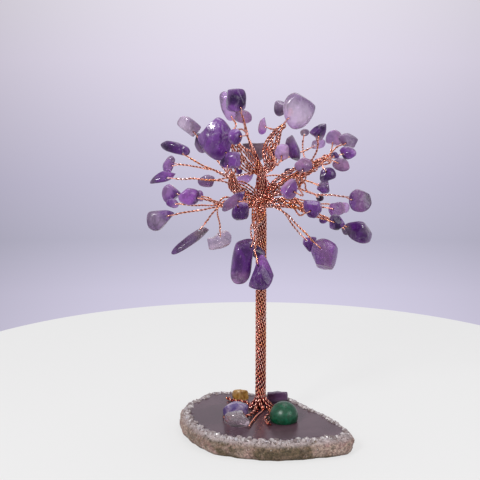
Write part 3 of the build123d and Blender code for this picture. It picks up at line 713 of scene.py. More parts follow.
class Route:
    """The middle line of a cord and one of its limbs, from the end of its root to the limb's tip."""

    def __init__(self, points, seat, foot):
        self.path = smoothed(points, path_step)
        self.length = along(self.path)
        self.tangents = directions(self.path)
        self.side, self.other = cross_directions(self.path)
        self.seat, self.foot = self.reach(seat), self.reach(foot)
        self.limb_share = eased((self.length - self.seat) / merge_length + 0.6)

    def reach(self, point):
        """The length along the line at which it passes a point."""
        return self.length[np.argmin(np.linalg.norm(self.path - np.array(point), axis=1))]

    def beside(self, distance, turn):
        """The line, moved sideways by a distance, at a turn round it."""
        return self.path + np.reshape(distance, (-1, 1)) * round_about(self.side, self.other, turn)


def cord_line(cord):
    """The middle line of a cord from the end of its root to its junction."""
    foot_angle = radians(cord.seat + 360 * trunk_turns + foot_turn)
    rest = slab_top + resting_gap + strand_diameter / 2
    points = [(x * root_reach, y * root_reach, rest) for x, y in reversed(cord.root_shares)]
    points.append((foot_radius * cos(foot_angle), foot_radius * sin(foot_angle), rest))

    def climb(degrees, height):
        angle = radians(cord.seat + degrees)
        points.append((strand_circle * cos(angle), strand_circle * sin(angle), height))

    runs = ceil(trunk_turns * runs_per_turn)
    for step in range(runs + 1):
        height = twist_foot + (junction_height - twist_foot) * step / runs
        climb(360 * trunk_turns * (runs - step) / runs, height)
    if cord.climbs:
        for step in (1, 2):
            climb(-360 * leader_turns * step / 2, junction_height + leader_height * step / 2)
    return points


def mixed_paths(one, other, share):
    """Goes over from one path to the other, with a share of the other for each point."""
    return one * (1 - share[:, None]) + other * share[:, None]


def pair_table(centre, middle, shade, width, twin=1):
    """Rows of a pair: its middle, its bundle's middle, how much the bundle and the twin wire shade it,
    and the width of the wire."""
    columns = [np.broadcast_to(value, len(centre)) for value in (shade, twin, width)]
    return np.column_stack([centre, middle, *columns])


def bundle_place(index):
    """How far from the middle of its limb a pair runs, and where round it."""
    if index < through_pairs:
        return wire_diameter * bundle_circle, 2 * pi * (index + 0.5) / through_pairs
    return wire_diameter * outer_circle, radians(outer_step * index)


def pair_rows(route, top, index, spread, depth):
    """One pair up to where it leaves its limb."""
    length = route.length
    distance, angle = bundle_place(index)
    freed = np.clip((length - route.seat) / (length[-1] - route.seat), 0, 1)
    start = route.seat - depth
    if index >= through_pairs:
        start = max(start, top - late_start)
        distance = distance * eased((length - start) / late_rise)
    bundle = route.beside(distance * (1 + limb_loosening * freed), angle - 2 * pi * length / bundle_lay)
    if index < len(spread):
        start = 0
        apart = root_apart if len(spread) > 1 else 0
        turn = np.arctan2(route.path[:, 1], route.path[:, 0]) + spread[index]
        trunk = np.c_[trunk_pair_circle * np.cos(turn), trunk_pair_circle * np.sin(turn), route.path[:, 2]]
        trunk_share = eased((length - route.foot) / root_merge + 0.5)
        rise = apart + trunk_wire_diameter - strand_diameter / 2 - resting_gap
        heart = route.path + np.array((0, 0, rise))
        root = route.beside(apart, pi * index + 2 * pi * length / root_lay)
        root[:, 2] += rise + root_clearance
        below = mixed_paths(root, trunk, trunk_share)
        middle = mixed_paths(heart, trunk * (0, 0, 1), trunk_share)
        root_shade = double_root_shade if apart else 0
    else:
        below = bundle * (0.5, 0.5, 1)
        middle = below * (0, 0, 1)
        trunk_share = np.ones_like(length)
        root_shade = 0
    centre = mixed_paths(below, bundle, route.limb_share)
    middle = mixed_paths(middle, route.path, route.limb_share)
    trunk_shade = 0.8 * trunk_share * (1 - 0.55 * route.limb_share)
    shade = np.maximum(trunk_shade, root_shade * (1 - trunk_share))
    width = trunk_wire_diameter + (wire_diameter - trunk_wire_diameter) * route.limb_share
    return pair_table(centre, middle, shade, width)[(length <= top) & (length >= start)]


def bowed_rows(route, start, end, reach, depth):
    """A pair that bows away from its limb, across the picture, between two places along it."""
    length = route.length
    share = np.clip((length - start) / (end - start), 0, 1)
    across = np.cross(route.tangents, (0, 1, 0))
    across /= np.linalg.norm(across, axis=1)[:, None] + 1e-9
    bow = np.sin(pi * share)[:, None]
    centre = route.path + across * reach * bow + np.array((0, depth, 0)) * bow
    centre = mixed_paths(centre * (0.5, 0.5, 1), centre, route.limb_share)
    return pair_table(centre, route.path, 0.35, wire_diameter)[(length >= start) & (length <= end)]


def flared_rows(turn, reach):
    """A pair that comes down the trunk and bends out over the slice."""
    height = np.linspace(flare_height, trunk_wire_diameter + 0.05, 60)
    share = eased(1 - height / (0.75 * flare_height)) ** 1.6
    radius = trunk_pair_circle + (reach - trunk_pair_circle) * share
    turn = turn + 2 * pi * trunk_turns * (flare_height - height) / (junction_height - twist_foot)
    middle = np.c_[0 * height, 0 * height, slab_top + height]
    centre = np.c_[radius * np.cos(turn), radius * np.sin(turn), slab_top + height]
    return pair_table(centre, middle, 0.8, trunk_wire_diameter)


def kept_clear(curve, ends, trees):
    """The curve, bent away from the chips. It stays as it is where ends is 0."""
    push = np.zeros_like(curve)
    for tree in trees:
        for number, point in enumerate(curve):
            hit, normal = tree.find_nearest(Vector(point) * MM, chip_search * MM)[:2]
            if hit is not None:
                missing = stem_clearance - (Vector(point) - hit / MM).dot(normal)
                push[number] += max(0, missing) * np.array(normal)
    for turn in range(2):
        push[1:-1] = (push[:-2] + 2 * push[1:-1] + push[2:]) / 4
    return curve + push * np.minimum(1, ends)


def stem_rows(rows, tangent, seat, draws, trees):
    """The rows of a pair and of its free part, from its limb to where it opens round its chip."""
    start = rows[-1, :3]
    end = seat.on_line(seat.stem_reach, 0)
    into = seat.on_line(0, 0) - end
    into /= np.linalg.norm(into)
    reach = np.linalg.norm(end - start)
    lead = tangent * 0.5 + (end - start) / reach * 0.5
    lead /= np.linalg.norm(lead)
    first, second = start + lead * reach * 0.3, end - into * reach * 0.22
    t = np.linspace(0, 1, max(8, ceil(reach / 0.5)))[:, None]
    curve = (1 - t) ** 3 * start + 3 * (1 - t) ** 2 * t * first + 3 * (1 - t) * t * t * second + t ** 3 * end
    seed = draws.uniform(0, 90)
    bends = np.array([[waves((s * reach, axis * 9, 0), (1, wander_size, seed)) for axis in range(3)]
                      for s in t[:, 0]])
    curve += bends * stem_wander * np.sin(pi * t)
    curve = kept_clear(curve, 4 * np.sin(pi * t), trees)
    return np.concatenate([rows, pair_table(curve, curve, 0, wire_diameter)[1:]])


def painted_groove_shade(points, rows):
    """How deep the surface of a wire lies between its neighbours, from 0 to 1, used as painted shade."""
    rows = np.repeat(rows, wire_sides, 0)
    centre, middle, shade, twin, width = rows[:, :3], rows[:, 3:6], rows[:, 6], rows[:, 7], rows[:, 8]
    reach = np.linalg.norm(centre - middle, axis=1) + width
    between = 1 - eased((np.linalg.norm(points - centre, axis=1) / width - 0.52) / 0.42)
    depth = np.linalg.norm(points - middle, axis=1) - reach + 0.78 * width
    inside = 1 - eased(depth / (0.8 * width))
    return np.maximum(between * twin, inside * shade)


def twisted_pair(rows, seat, tree):
    """One wire that runs up the pair, round the chip's loop and down again."""
    rows = evenly(rows, wire_step)
    side, other = cross_directions(rows[:, :3])
    length = along(rows)
    normal = np.array(seat.axes @ Vector((0, 0, 1)))
    level = np.argmax(rows[:, 2] > slab_top + trunk_height / 2)
    away = rows[level, :3] * (1, 1, 0)
    start = atan2(away @ other[level], away @ side[level]) + bead_starts * atan2(away[1], away[0])
    turn = start + 2 * pi * (length - length[level]) / pitch
    missing = atan2(normal @ other[-1], normal @ side[-1]) - turn[-1]
    missing -= pi * round(missing / pi)
    climb = np.argmax(rows[:, 2] > junction_height)
    turn += missing * eased((length - length[climb]) / (length[-1] - length[climb]))
    offset = round_about(side, other, turn) * rows[:, 8:] / 2
    loop = loop_path(seat, tree)[1:-1]
    whole = np.concatenate([rows, pair_table(loop, loop, 0, wire_diameter, twin=0), rows[::-1]])
    path = np.concatenate([rows[:, :3] + offset, loop, (rows[:, :3] - offset)[::-1]])
    points, faces = tube(path, whole[:, 8])
    return points, faces, painted_groove_shade(points, whole)


def plain_pair(rows):
    """Two wires twisted together, as two tubes."""
    rows = evenly(rows, wire_step)
    side, other = cross_directions(rows[:, :3])
    offset = round_about(side, other, 2 * pi * along(rows) / pitch) * rows[:, 8:] / 2
    pair = []
    for sign in (1, -1):
        points, faces = tube(rows[:, :3] + sign * offset, rows[:, 8])
        pair.append((points, faces, painted_groove_shade(points, rows)))
    return pair


# Materials

class Nodes:
    """Short calls for the nodes of a material or of the world."""

    def __init__(self, owner):
        owner.use_nodes = True
        self.owner, self.tree = owner, owner.node_tree

    def feed(self, socket, value):
        """Links a socket or sets it. Three numbers for a colour are red, green and blue up to 255."""
        if isinstance(value, bpy.types.NodeSocket):
            self.tree.links.new(value, socket)
        elif socket.type == "RGBA":
            colour = linear(value) if isinstance(value, tuple) else (value, value, value)
            socket.default_value = (*colour, 1)
        else:
            socket.default_value = value

    def add(self, kind, output, values, **settings):
        """A node whose inputs are fed by name or number, as one of its outputs."""
        node = self.tree.nodes.new(kind)
        for name, value in settings.items():
            setattr(node, name, value)
        for key, value in values.items():
            self.feed(node.inputs[key], value)
        return node.outputs[output]

    def noise(self, scale, detail=4.0, roughness=0.5, distortion=0.0, stretch=(1, 1, 1)):
        """Noise in the frame of the part, with a scale per metre."""
        place = self.add("ShaderNodeTexCoord", "Object", {})
        place = self.add("ShaderNodeMapping", "Vector", {"Vector": place, "Scale": stretch})
        return self.add("ShaderNodeTexNoise", "Fac", {
            "Vector": place, "Scale": scale, "Detail": detail, "Roughness": roughness,
            "Distortion": distortion})

    def ramp(self, factor, *stops):
        """A colour ramp with stops of place and colour, or grey level."""
        ramp = self.tree.nodes.new("ShaderNodeValToRGB")
        elements = ramp.color_ramp.elements
        while len(elements) < len(stops):
            elements.new(0.5)
        for element, (place, colour) in zip(elements, stops):
            element.position = place
            colour = linear(colour) if isinstance(colour, tuple) else (colour, colour, colour)
            element.color = (*colour, 1)
        self.feed(ramp.inputs["Fac"], factor)
        return ramp.outputs["Color"]

    def mix(self, factor, one, other, kind="MIX"):
        """A mix of two colours, where 6 and 7 are the inputs for colours and 2 is their output."""
        values = {0: factor, 6: one, 7: other}
        return self.add("ShaderNodeMix", 2, values, data_type="RGBA", blend_type=kind)

    def multiplied(self, one, other):
        return self.mix(1.0, one, other, "MULTIPLY")

    def math(self, operation, one, other):
        return self.add("ShaderNodeMath", 0, {0: one, 1: other}, operation=operation)

    def bump(self, height, strength, distance):
        values = {"Height": height, "Strength": strength, "Distance": distance}
        return self.add("ShaderNodeBump", "Normal", values)

    def attribute(self, name, output="Fac"):
        return self.add("ShaderNodeAttribute", output, {}, attribute_name=name)

    def shaded(self, values):
        """The material, with the inputs of its surface fed by name."""
        for name, value in values.items():
            self.feed(self.tree.nodes["Principled BSDF"].inputs[name], value)
        return self.owner


def material_nodes(name):
    """The nodes of a new material."""
    return Nodes(bpy.data.materials.new(name))


def amethyst(name, transmission, roughness, veil_share, dark_share):
    """Tumbled amethyst: its tint, darker zones of growth, white veils and a worn polish."""
    nodes = material_nodes(name)
    zone = nodes.ramp(nodes.noise(230, 3, 0.55, 0.9, (1, 1, 0.6)), (0.4, 1 - dark_share), (0.54, 1.0))
    body = nodes.multiplied(nodes.attribute("tint", "Color"), zone)
    veil = nodes.ramp(nodes.noise(300, 5, 0.6, 3.0, (1, 1.5, 0.45)), (0.55, 0.0), (0.68, veil_share))
    return nodes.shaded({
        "Base Color": nodes.mix(veil, body, (226, 202, 234)),
        "Transmission Weight": transmission,
        "IOR": 1.34,
        "Roughness": nodes.ramp(nodes.noise(900, 4, 0.6), (0.35, roughness), (0.7, roughness + 0.12)),
        "Coat Weight": 0.4,
        "Coat Roughness": 0.04,
        "Normal": nodes.bump(nodes.noise(380, 2, 0.5), 0.4, 0.0006),
    })


def copper(name):
    """Bright copper wire with painted shade: darker in the grooves where the wires touch and inside bundles.
    """
    nodes = material_nodes(name)
    tarnish = nodes.ramp(
        nodes.noise(200, 5, 0.6), (0.34, (250, 166, 106)), (0.5, (255, 180, 156)), (0.66, (255, 212, 202)))
    # painted shade: where groove_shade is high the copper goes over to dark red brown (130, 46, 44)
    depth = nodes.ramp(nodes.attribute("groove_shade"), (0.25, 0.0), (0.7, 1.0))
    scratches = nodes.noise(2600, 3, 0.6)
    return nodes.shaded({
        "Base Color": nodes.mix(depth, tarnish, (130, 46, 44)),
        "Metallic": 1.0,
        "Roughness": nodes.ramp(scratches, (0.3, 0.12), (0.7, 0.24)),
        "Normal": nodes.bump(scratches, 0.12, 0.00003),
    })


def polished_stone(name, stops, scale, transmission, roughness, coat, distortion=0.6, stretch=(1, 1, 1)):
    """A polished stone coloured by one noise through a ramp."""
    nodes = material_nodes(name)
    return nodes.shaded({
        "Base Color": nodes.ramp(nodes.noise(scale, 6, 0.6, distortion, stretch), *stops),
        "Transmission Weight": transmission,
        "IOR": 1.5,
        "Roughness": nodes.ramp(nodes.noise(800, 4, 0.6), (0.35, roughness), (0.7, roughness + 0.1)),
        "Coat Weight": coat,
        "Coat Roughness": 0.08,
        "Normal": nodes.bump(nodes.noise(500, 3, 0.5), 0.2, 0.0003),
    })


def agate(name):
    """The slice: a polished grey face within a rim of pale crystals and a rough brown and pink side."""
    nodes = material_nodes(name)
    face = nodes.ramp(
        nodes.noise(42, 5, 0.55, 0.4), (0.3, (64, 44, 53)), (0.5, (74, 52, 62)), (0.72, (92, 68, 78)))
    patches = nodes.noise(130, 5, 0.65, 0.5, (1, 1, 1.6))
    pink = nodes.ramp(
        patches, (0.34, (140, 106, 100)), (0.46, (180, 158, 144)), (0.56, (156, 122, 116)),
        (0.66, (192, 168, 162)))
    olive = nodes.ramp(
        patches, (0.34, (132, 108, 88)), (0.46, (88, 76, 54)), (0.56, (118, 98, 78)), (0.68, (154, 130, 114)))
    earthy = nodes.ramp(nodes.attribute("earth"), (0.2, 0.0), (0.9, 1.0))
    grains = nodes.noise(1300, 3, 0.7)
    speckle = nodes.ramp(grains, (0.36, 0.38), (0.62, 1.12))
    side = nodes.multiplied(nodes.mix(earthy, pink, olive), speckle)
    lumps = nodes.ramp(nodes.noise(420, 3, 0.6), (0.36, 0.66), (0.6, 1.08))
    rim = nodes.multiplied(nodes.ramp(grains, (0.35, (138, 122, 121)), (0.6, (188, 176, 176))), lumps)
    crust = nodes.mix(nodes.attribute("side"), rim, side)
    polish = nodes.attribute("polish")
    return nodes.shaded({
        "Base Color": nodes.mix(polish, crust, face),
        "Roughness": nodes.ramp(polish, (0.3, 0.5), (0.9, 0.27)),
        "Specular IOR Level": 0.3,
        "Normal": nodes.bump(nodes.mix(polish, grains, 0.5), 0.8, 0.0004),
    })


def crystal(name):
    """Small grains and points of quartz on the crust."""
    nodes = material_nodes(name)
    specks = nodes.noise(900, 3, 0.6)
    return nodes.shaded({
        "Base Color": nodes.multiplied(
            nodes.attribute("tint", "Color"), nodes.ramp(specks, (0.3, 0.72), (0.65, 1.0))),
        "Transmission Weight": 0.2,
        "Roughness": nodes.ramp(specks, (0.3, 0.12), (0.7, 0.3)),
        "IOR": 1.54,
    })


amethysts = {
    "amethyst_dark": amethyst("amethyst_dark", 0.25, 0.16, 0.20, 0.45),
    "amethyst_violet": amethyst("amethyst_violet", 0.36, 0.17, 0.22, 0.38),
    "amethyst_pale": amethyst("amethyst_pale", 0.62, 0.15, 0.40, 0.20),
    "amethyst_grey": amethyst("amethyst_grey", 0.50, 0.16, 0.28, 0.32),
    "amethyst_clear": amethyst("amethyst_clear", 0.93, 0.08, 0.20, 0.15),
}
copper_wire = copper("copper_wire")
stone_materials = {
    "sodalite": polished_stone("sodalite", (
        (0.36, (66, 50, 108)), (0.5, (96, 78, 136)), (0.6, (150, 132, 168)), (0.7, (222, 212, 226))),
        170, 0.1, 0.12, 0.4),
    "quartz": polished_stone("quartz", (
        (0.32, (196, 174, 188)), (0.5, (232, 216, 226)), (0.66, (255, 248, 254))), 130, 0.8, 0.06, 0.3, 0.8),
    "citrine": polished_stone("citrine", (
        (0.32, (122, 80, 40)), (0.5, (190, 144, 66)), (0.68, (226, 190, 128))), 300, 0.35, 0.12, 0.3, 1.0),
    "fluorite": polished_stone("fluorite", (
        (0.36, (86, 52, 90)), (0.5, (108, 76, 112)), (0.58, (104, 108, 108)), (0.72, (128, 136, 130))),
        150, 0.25, 0.14, 0.3, 0.3, (0.35, 1, 1.6)),
    "aventurine": polished_stone("aventurine", (
        (0.3, (0, 56, 34)), (0.5, (0, 72, 46)), (0.72, (18, 98, 70))), 900, 0.04, 0.28, 0.0, 0.2),
}


def slot_of(name):
    """The material slot of a chip."""
    for slot, names in slots.items():
        if name in names.split():
            return slot
    return "amethyst_violet"


def node_of(name):
    """The node of the part that a chip stands for."""
    group, _, side = name.partition("_")
    return f"small_chips_{side}" if group == "small" else f"{name}_chip"


# The chips
joints = {name: {joint: spot(shares) for joint, shares in cord.joints.items()}
          for name, cord in cords.items()}
joints["core"] = {joint: spot(shares) for joint, shares in core_joints.items()}
held = {}
for (cord_name, joint), members in sprigs.items():
    for chip in (Chip(*member) for member in members):
        seat = Seat(chip, joint, joints[cord_name][joint])
        draws = random.Random(sum(map(len, held.values())) * 7 + 5)
        ring = outline_points(chip.outline, seat.width, seat.height, 6)
        points, faces = tumbled(ring, seat.thickness, draws, chip_flats)
        slot = slot_of(chip.node)
        points = drawn_in([seat.world(*p) for p in points])
        piece = mesh_object(f"{chip.node}_stone", points, faces, amethysts[slot])
        tree = BVHTree.FromObject(piece, bpy.context.evaluated_depsgraph_get())
        drilled(piece, seat)
        piece.data.shade_smooth()
        tint(piece, seat, draws)
        placed(piece, slot, node_of(chip.node))
        held.setdefault(cord_name, []).append((seat, tree, draws))


def wires_piece(name, parts):
    """The wires of one cord as one piece."""
    points, faces, values = joined(parts)
    piece = mesh_object(f"{name}_wires", points, faces, copper_wire)
    # each vertex carries its painted shade between its twin wire and inside its bundle
    painted(piece, "groove_shade", values)
    placed(piece, "copper_wire", f"{name}_cord")


def leaving_pairs(name, routes):
    """The pairs of a cord in the order in which they leave its limbs, from the far end."""
    leaving = []
    for limb, route in routes:
        for seat, tree, draws in held[name]:
            if seat.joint in limb and seat not in [row[1] for row in leaving]:
                leaving.append((route.reach(joints[name][seat.joint]), seat, tree, draws, route))
    return sorted(leaving, key=lambda row: -row[0])


def bows(route, knots):
    """The extra pairs of a limb, over all of it and from knot to knot."""
    wanted = [(knots[0], knots[-1], reach, sheet_length) for reach in sheet_reaches]
    wanted += [(start, end, bow_reach * (-1) ** number, bow_length)
               for number, (start, end) in enumerate(zip(knots, knots[1:])) if end - start > shortest_bow]
    pairs = []
    for number, (start, end, reach, full_length) in enumerate(wanted):
        shortened = reach * min(1, (end - start) / full_length)
        pairs += plain_pair(bowed_rows(route, start, end, shortened, bow_depth * (-1) ** number))
    return pairs


# The wires of the outer cords. A second limb's extra pairs start where it leaves the first.
for name, cord in cords.items():
    below = cord_line(cord)
    foot = below[len(cord.root_shares) + 1]
    depth = hidden_depth + (leader_height if cord.climbs else 0)
    trees = [tree for seat, tree, draws in held[name]]
    spread = [radians(double_spread * turn) for turn in ((-0.5, 0.5) if cord.seat in double_seats else (0,))]
    routes = []
    for limb in (limb.split() for limb in cord.limbs):
        routes.append((limb, Route(below + [joints[name][joint] for joint in limb], below[-1], foot)))
    parts = []
    for index, (top, seat, tree, draws, route) in enumerate(leaving_pairs(name, routes)):
        rows = pair_rows(route, top, index, spread, depth)
        tangent = route.tangents[np.searchsorted(route.length, top)]
        parts.append(twisted_pair(stem_rows(rows, tangent, seat, draws, trees), seat, tree))
    passed = []
    for limb, route in routes:
        knots = [route.seat - bow_start] + [route.reach(joints[name][joint]) for joint in limb[1:]]
        parts += bows(route, knots[max(0, sum(joint in passed for joint in limb) - 1):])
        passed += limb
    wires_piece(name, parts)

# The core fills the trunk and goes on as the leader
route = [(0, 0, junction_height - hidden_depth), (0, 0, junction_height), (0, 0, leader_top)]
route = smoothed(route + list(joints["core"].values()), path_step)
side, other = cross_directions(route)
length = along(route)
trees = [tree for seat, tree, draws in held["core"]]
narrowing = 1 - 0.45 * eased((length - leader_height - hidden_depth) / 6)
parts = []
for index in range(leader_pairs):
    angle = 2 * pi * (index / leader_pairs - length / bundle_lay)
    centre = route + (leader_circle * narrowing)[:, None] * round_about(side, other, angle)
    rows = pair_table(centre, route, 0.8, wire_diameter)
    if index % 3 == 0:
        seat, tree, draws = held["core"][index // 3]
        parts.append(twisted_pair(stem_rows(rows, directions(route)[-1], seat, draws, trees), seat, tree))
    else:
        parts += plain_pair(rows[:int(len(rows) * (0.86 + 0.02 * index))])
trunk_line = np.linspace((0, 0, slab_top + resting_gap), (0, 0, junction_height), 40)
leader_line = route[:int(len(route) * 0.8)]
# the filler tubes inside the trunk and the leader carry full painted shade, so they show dark between the
# wires
for line, radius in ((trunk_line, core_radius), (leader_line, leader_circle - wire_diameter * 0.8)):
    points, faces = tube(line, 2 * radius, 16)
    parts.append((points, faces, np.ones(len(points))))
draws = random.Random(9)
for index in range(flare_pairs):
    turn = 2 * pi * index / flare_pairs + draws.uniform(-0.2, 0.2)
    parts += plain_pair(flared_rows(turn, draws.uniform(*flare_reaches)))
wires_piece("core", parts)

# The stones on the slice
for name, stone in stones.items():
    width, depth, height = (share * largest_stone for share in stone.size_shares)
    draws = random.Random(len(name) * 13 + 3)
    ring = outline_points(stone.outline, width, depth, 8)
    whole = height / (1 - sunk_share)
    points, faces = tumbled(ring, whole, draws, stone.flats, stone.fullness, stone.bump_share)
    points[:, 2] = np.maximum(points[:, 2] + whole * (0.5 - sunk_share), 0)
    turned = Matrix.Rotation(radians(stone.turn), 3, "Z")
    place = Vector((stone.place_shares[0] * slab_width, stone.place_shares[1] * slab_depth, slab_top))
    points = [place + turned @ Vector(p) for p in points]
    piece = mesh_object(f"{name}_gem", points, faces, stone_materials[name])
    placed(piece, {"quartz": "clear_quartz"}.get(name, name), f"{name}_stone")

# The slice of agate, as columns round the rim and rows from the middle of the top over the side
corners = [(x * slab_width, y * slab_depth, 0) for x, y in slab_outline_shares]
rim = smoothed(corners, 0.2, closed=True)[:, :2]
rim_share = along(rim) / along(rim)[-1]
rim_turn = np.unwrap(np.arctan2(rim[:, 1], rim[:, 0]))
order = np.argsort(rim_turn)
turns = rim_turn[0] + np.sign(rim_turn[-1] - rim_turn[0]) * np.linspace(0, 2 * pi, columns, endpoint=False)
rim_reach = np.interp(turns, rim_turn[order], np.linalg.norm(rim, axis=1)[order], period=2 * pi)
rim_place = np.interp(turns, rim_turn[order], rim_share[order]) * rim_points


def lump(place, level):
    """How deep the crust draws in at a place round the rim, on one level of the part's own slice."""
    step = int(place)
    shares = [lump_shares[(step + k + level * (rim_points + 1)) % len(lump_shares)] for k in (0, 1)]
    blend = float(eased(place - step))
    return shares[0] * (1 - blend) + shares[1] * blend


def side_reach(column, height_share):
    """How far the side of the slice lies from its middle."""
    level = np.interp(height_share, slab_levels, range(len(slab_levels)))
    step = min(int(level), len(slab_levels) - 2)
    blend = float(eased(level - step))
    depth = lump(rim_place[column], step) * (1 - blend) + lump(rim_place[column], step + 1) * blend
    swell = 1 - side_swell * abs(2 * height_share - swell_level) ** swell_power
    return rim_reach[column] * (swell - rim_lump_share * depth)


def earth(place):
    """How brown and olive the side is at a place, and not pink and beige."""
    patch = 0.3 + waves(place, (0.6, 7.0, 21))
    if place[1] < 0:
        for low, high in earth_patches:
            patch += 0.55 * float(eased((place[0] - low) / 9 + 0.5) - eased((place[0] - high) / 9 + 0.5))
    return patch + 0.35 * float(eased(1.2 - place[2])) + waves(place, (0.5, 2.4, 5))


face_edges = [rim_reach[column] * face_share - 0.2 + waves(outward(turn) * 30, *face_jags)
              for column, turn in enumerate(turns)]
ledge_edges = [side_reach(column, 1) for column in range(columns)]


def slice_point(row, column):
    """The reach, height and roughness of the slice where a row meets a column."""
    if row < face_rows:
        return face_edges[column] * (row / (face_rows - 1)) ** 0.8, slab_top, 0.0
    if row < face_rows + ledge_rows:
        share = (row - face_rows + 1) / ledge_rows
        return face_edges[column] + (ledge_edges[column] - face_edges[column]) * share, slab_top, share ** 0.5
    share = 1 - (row - face_rows - ledge_rows + 1) / side_rows
    return side_reach(column, share), slab_top * share, 1.0 if share > 0 else 0.3


vertices, polish, sides, earths = [(0, 0, slab_top)], [1.0], [0.0], [0.0]
rows = face_rows + ledge_rows + side_rows - 1
for row in range(1, rows + 1):
    for column, turn in enumerate(turns):
        away = outward(turn)
        reach, height, rough = slice_point(row, column)
        place = away * reach + Vector((0, 0, height))
        reach += rough * grit_depth * (waves(place, *side_grit) - 0.6)
        if height > 0 and rough:
            lumps = height / slab_top * min(0.4, waves(place, (1, 2.2, 61)))
            height += rough * (waves(place, (0.2, 0.8, 13)) + 0.4 * lumps)
        vertices.append((away.x * reach, away.y * reach, height))
        polish.append(1.0 if rough == 0 else 0.0)
        sides.append(float(eased((slab_top - height - 0.4) / 2.0)))
        earths.append(earth(vertices[-1]))
vertices.append((0, 0, 0))
polish.append(0.0)
sides.append(1.0)
earths.append(0.5)
faces = [(0, 1 + c, 1 + (c + 1) % columns) for c in range(columns)]
for row in range(rows - 1):
    a, b = 1 + row * columns, 1 + (row + 1) * columns
    faces += [(a + c, b + c, b + (c + 1) % columns, a + (c + 1) % columns) for c in range(columns)]
last = 1 + (rows - 1) * columns
faces += [(last + c, len(vertices) - 1, last + (c + 1) % columns) for c in range(columns)]
if turns[1] < turns[0]:
    faces = [face[::-1] for face in faces]
vertices = [(x + slab_right, y - slab_forward, z) for x, y, z in vertices]
piece = mesh_object("agate_slice_body", vertices, faces, agate("agate"))
painted(piece, "polish", polish)
painted(piece, "side", sides)
painted(piece, "earth", earths)
placed(piece, "agate", "agate_slice")


# Grains and points of quartz on the rim, along the edge of the face and on the side. Each of the first
# three functions gives a grain's reach, height, lean, size and colour.

def rim_grain(column, away, draws):
    share = draws.random()
    reach = rim_reach[column] * grain_share * (1 - share) + (side_reach(column, 0.93) - 0.15) * share
    size = draws.uniform(0.4, 0.9)
    if draws.random() < big_grain_chance:
        size *= big_grain_scale
        reach -= big_grain_shift
    return reach, slab_top - 0.35 * share, away * 0.4 + Vector((0, 0, 1)), size, draws.choice(rim_colours)


def edge_grain(column, away, draws):
    reach = rim_reach[column] * grain_share + draws.uniform(-0.5, 0.9)
    size = draws.uniform(0.8, 1.5)
    return reach, slab_top - 0.3, away * 0.3 + Vector((0, 0, 1)), size, draws.choice(edge_colours)


def side_grain(column, away, draws):
    share = draws.uniform(0.1, 0.95)
    reach, height = side_reach(column, share) - 0.42, slab_top * share
    size = draws.uniform(0.3, 0.7)
    colour = draws.choice(pink_colours)
    if earth(away * reach + Vector((0, 0, height))) > 0.5:
        colour = draws.choice(olive_colours)
    return reach, height, away + Vector((0, 0, 0.3)), size, colour


def grain_points(draws):
    """A five-sided grain of size 1 with a point at each end."""
    points = [(radius * cos(2 * pi * k / 5), radius * sin(2 * pi * k / 5), z)
              for z, radius in ((-0.9, 0.55), (0.2, 0.5)) for k in range(5)]
    return points + [(0, 0, -1.1), (draws.uniform(-0.15, 0.15), draws.uniform(-0.15, 0.15), 0.6)]


grain_faces = []
for k in range(5):
    j = (k + 1) % 5
    grain_faces += [(k, j, 5 + j, 5 + k), (j, k, 10), (5 + k, 5 + j, 11)]


def grown(grain, draws):
    """One grain as vertices, faces and colours, somewhere round the slice."""
    column = draws.randrange(columns)
    away = outward(turns[column])
    reach, height, lean, size, colour = grain(column, away, draws)
    lean = (lean + Vector([draws.gauss(0, 0.32) for axis in range(3)])).normalized()
    turned = lean.to_track_quat("Z", "Y").to_matrix() @ Matrix.Rotation(draws.uniform(0, 6), 3, "Z")
    middle = away * reach + Vector((slab_right, -slab_forward, height))
    points = np.array([middle + turned @ (Vector(p) * size) for p in grain_points(draws)])
    points[:, 2] = np.clip(points[:, 2], grain_clearance, slab_top + grain_rise)
    return points, grain_faces, np.tile(linear(colour), (len(points), 1))


draws = random.Random(42)
parts = []
for grain, count in ((rim_grain, rim_grains), (edge_grain, edge_grains), (side_grain, side_grains)):
    parts += [grown(grain, draws) for number in range(count)]
points, faces, colours = joined(parts)
piece = mesh_object("rim_crystals", points, faces, crystal("rim_crystal"), smooth=False)
painted(piece, "tint", colours)
placed(piece, "agate")

# The stage: a round pale table top, which the camera sees mostly in one plain colour
nodes = material_nodes("floor")
floor = nodes.shaded({"Base Color": (236, 236, 236), "Roughness": 0.7})
lit = nodes.tree.nodes["Principled BSDF"].outputs[0]
seen = nodes.add("ShaderNodeEmission", 0, {"Color": (235, 235, 235)})
camera_ray = nodes.add("ShaderNodeLightPath", "Is Camera Ray", {})
flatten = nodes.math("MULTIPLY", camera_ray, flatten_share)
blend = nodes.add("ShaderNodeMixShader", 0, {0: flatten, 1: lit, 2: seen})
nodes.feed(nodes.tree.nodes["Material Output"].inputs["Surface"], blend)
edge = [(table_middle[0] + table_radius * cos(2 * pi * k / table_points),
         table_middle[1] + table_radius * sin(2 * pi * k / table_points), -table_drop)
        for k in range(table_points)]
mesh_object("floor", edge, [tuple(range(table_points))], floor, smooth=False)

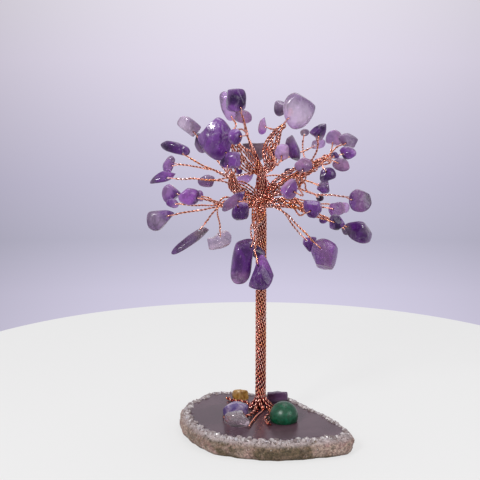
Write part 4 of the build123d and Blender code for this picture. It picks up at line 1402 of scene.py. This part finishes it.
# The background, paler above and towards the middle, as the camera, metal and glass see it
bpy.context.scene.world = bpy.data.worlds.new("studio")
nodes = Nodes(bpy.context.scene.world)
nodes.tree.nodes.clear()
heading = nodes.add("ShaderNodeTexCoord", "Generated", {})
across, forward, up = nodes.add("ShaderNodeSeparateXYZ", 0, {"Vector": heading}).node.outputs
rays = nodes.add("ShaderNodeLightPath", 0, {}).node.outputs
rise = nodes.math("DIVIDE", nodes.math("ADD", up, 0.3), 0.4)
sky = nodes.ramp(
    rise, (0.10, (214, 209, 231)), (0.19, (209, 204, 226)), (0.30, (190, 187, 207)),
    (0.42, (200, 195, 217)), (0.68, (225, 218, 235)), (0.85, (231, 226, 236)))
fall = nodes.math("MULTIPLY", nodes.math("MULTIPLY", across, across), 4.2)
shade = nodes.math("MAXIMUM", nodes.math("SUBTRACT", 1.0, fall), 0.76)
seen = nodes.add("ShaderNodeBackground", 0, {"Color": sky, "Strength": shade})

# The light of the background is even, but what shines sees it grow brighter overhead
above = nodes.math("MULTIPLY", nodes.math("MAXIMUM", up, 0.0), 0.6)
dimmed = nodes.math("MULTIPLY", rays["Is Glossy Ray"], nodes.math("SUBTRACT", 0.02, above))
strength = nodes.math("SUBTRACT", 0.55, dimmed)
light = nodes.add("ShaderNodeBackground", 0, {"Color": (240, 236, 240), "Strength": strength})
looked = nodes.math("MAXIMUM", rays["Is Camera Ray"], rays["Is Transmission Ray"])
behind = nodes.math("MULTIPLY", rays["Is Glossy Ray"], nodes.math("GREATER_THAN", forward, -0.25))
share = nodes.math("MAXIMUM", looked, behind)
blend = nodes.add("ShaderNodeMixShader", 0, {0: share, 1: light, 2: seen})
nodes.feed(nodes.tree.nodes.new("ShaderNodeOutputWorld").inputs["Surface"], blend)


def lamp(name, place, size, power):
    """A square soft lamp, with places in millimetres and power in watts."""
    data = bpy.data.lights.new(name, "AREA")
    data.shape, data.size, data.energy = "SQUARE", size * MM, power
    thing = bpy.data.objects.new(name, data)
    bpy.context.scene.collection.objects.link(thing)
    thing.location = Vector(place) * MM
    thing.rotation_mode = "QUATERNION"
    thing.rotation_quaternion = (Vector(lamp_aim) - Vector(place)).to_track_quat("-Z", "Y")


lamp("key", (-230, -400, 340), 110, 1.6)
lamp("fill", (320, -260, 200), 200, 0.35)
lamp("top", (60, 120, 480), 260, 0.7)

camera_data = bpy.data.cameras.new("camera")
camera_data.sensor_width, camera_data.lens = camera_sensor, camera_lens
camera_data.clip_start, camera_data.clip_end = 0.01, 10
camera = bpy.data.objects.new("camera", camera_data)
bpy.context.scene.collection.objects.link(camera)
camera.location = Vector((0, -eye_distance, eye_height)) * MM
camera.rotation_euler = (radians(90 - camera_tilt), 0, radians(camera_turn))
bpy.context.scene.camera = camera
bpy.context.scene.view_settings.view_transform = "Standard"
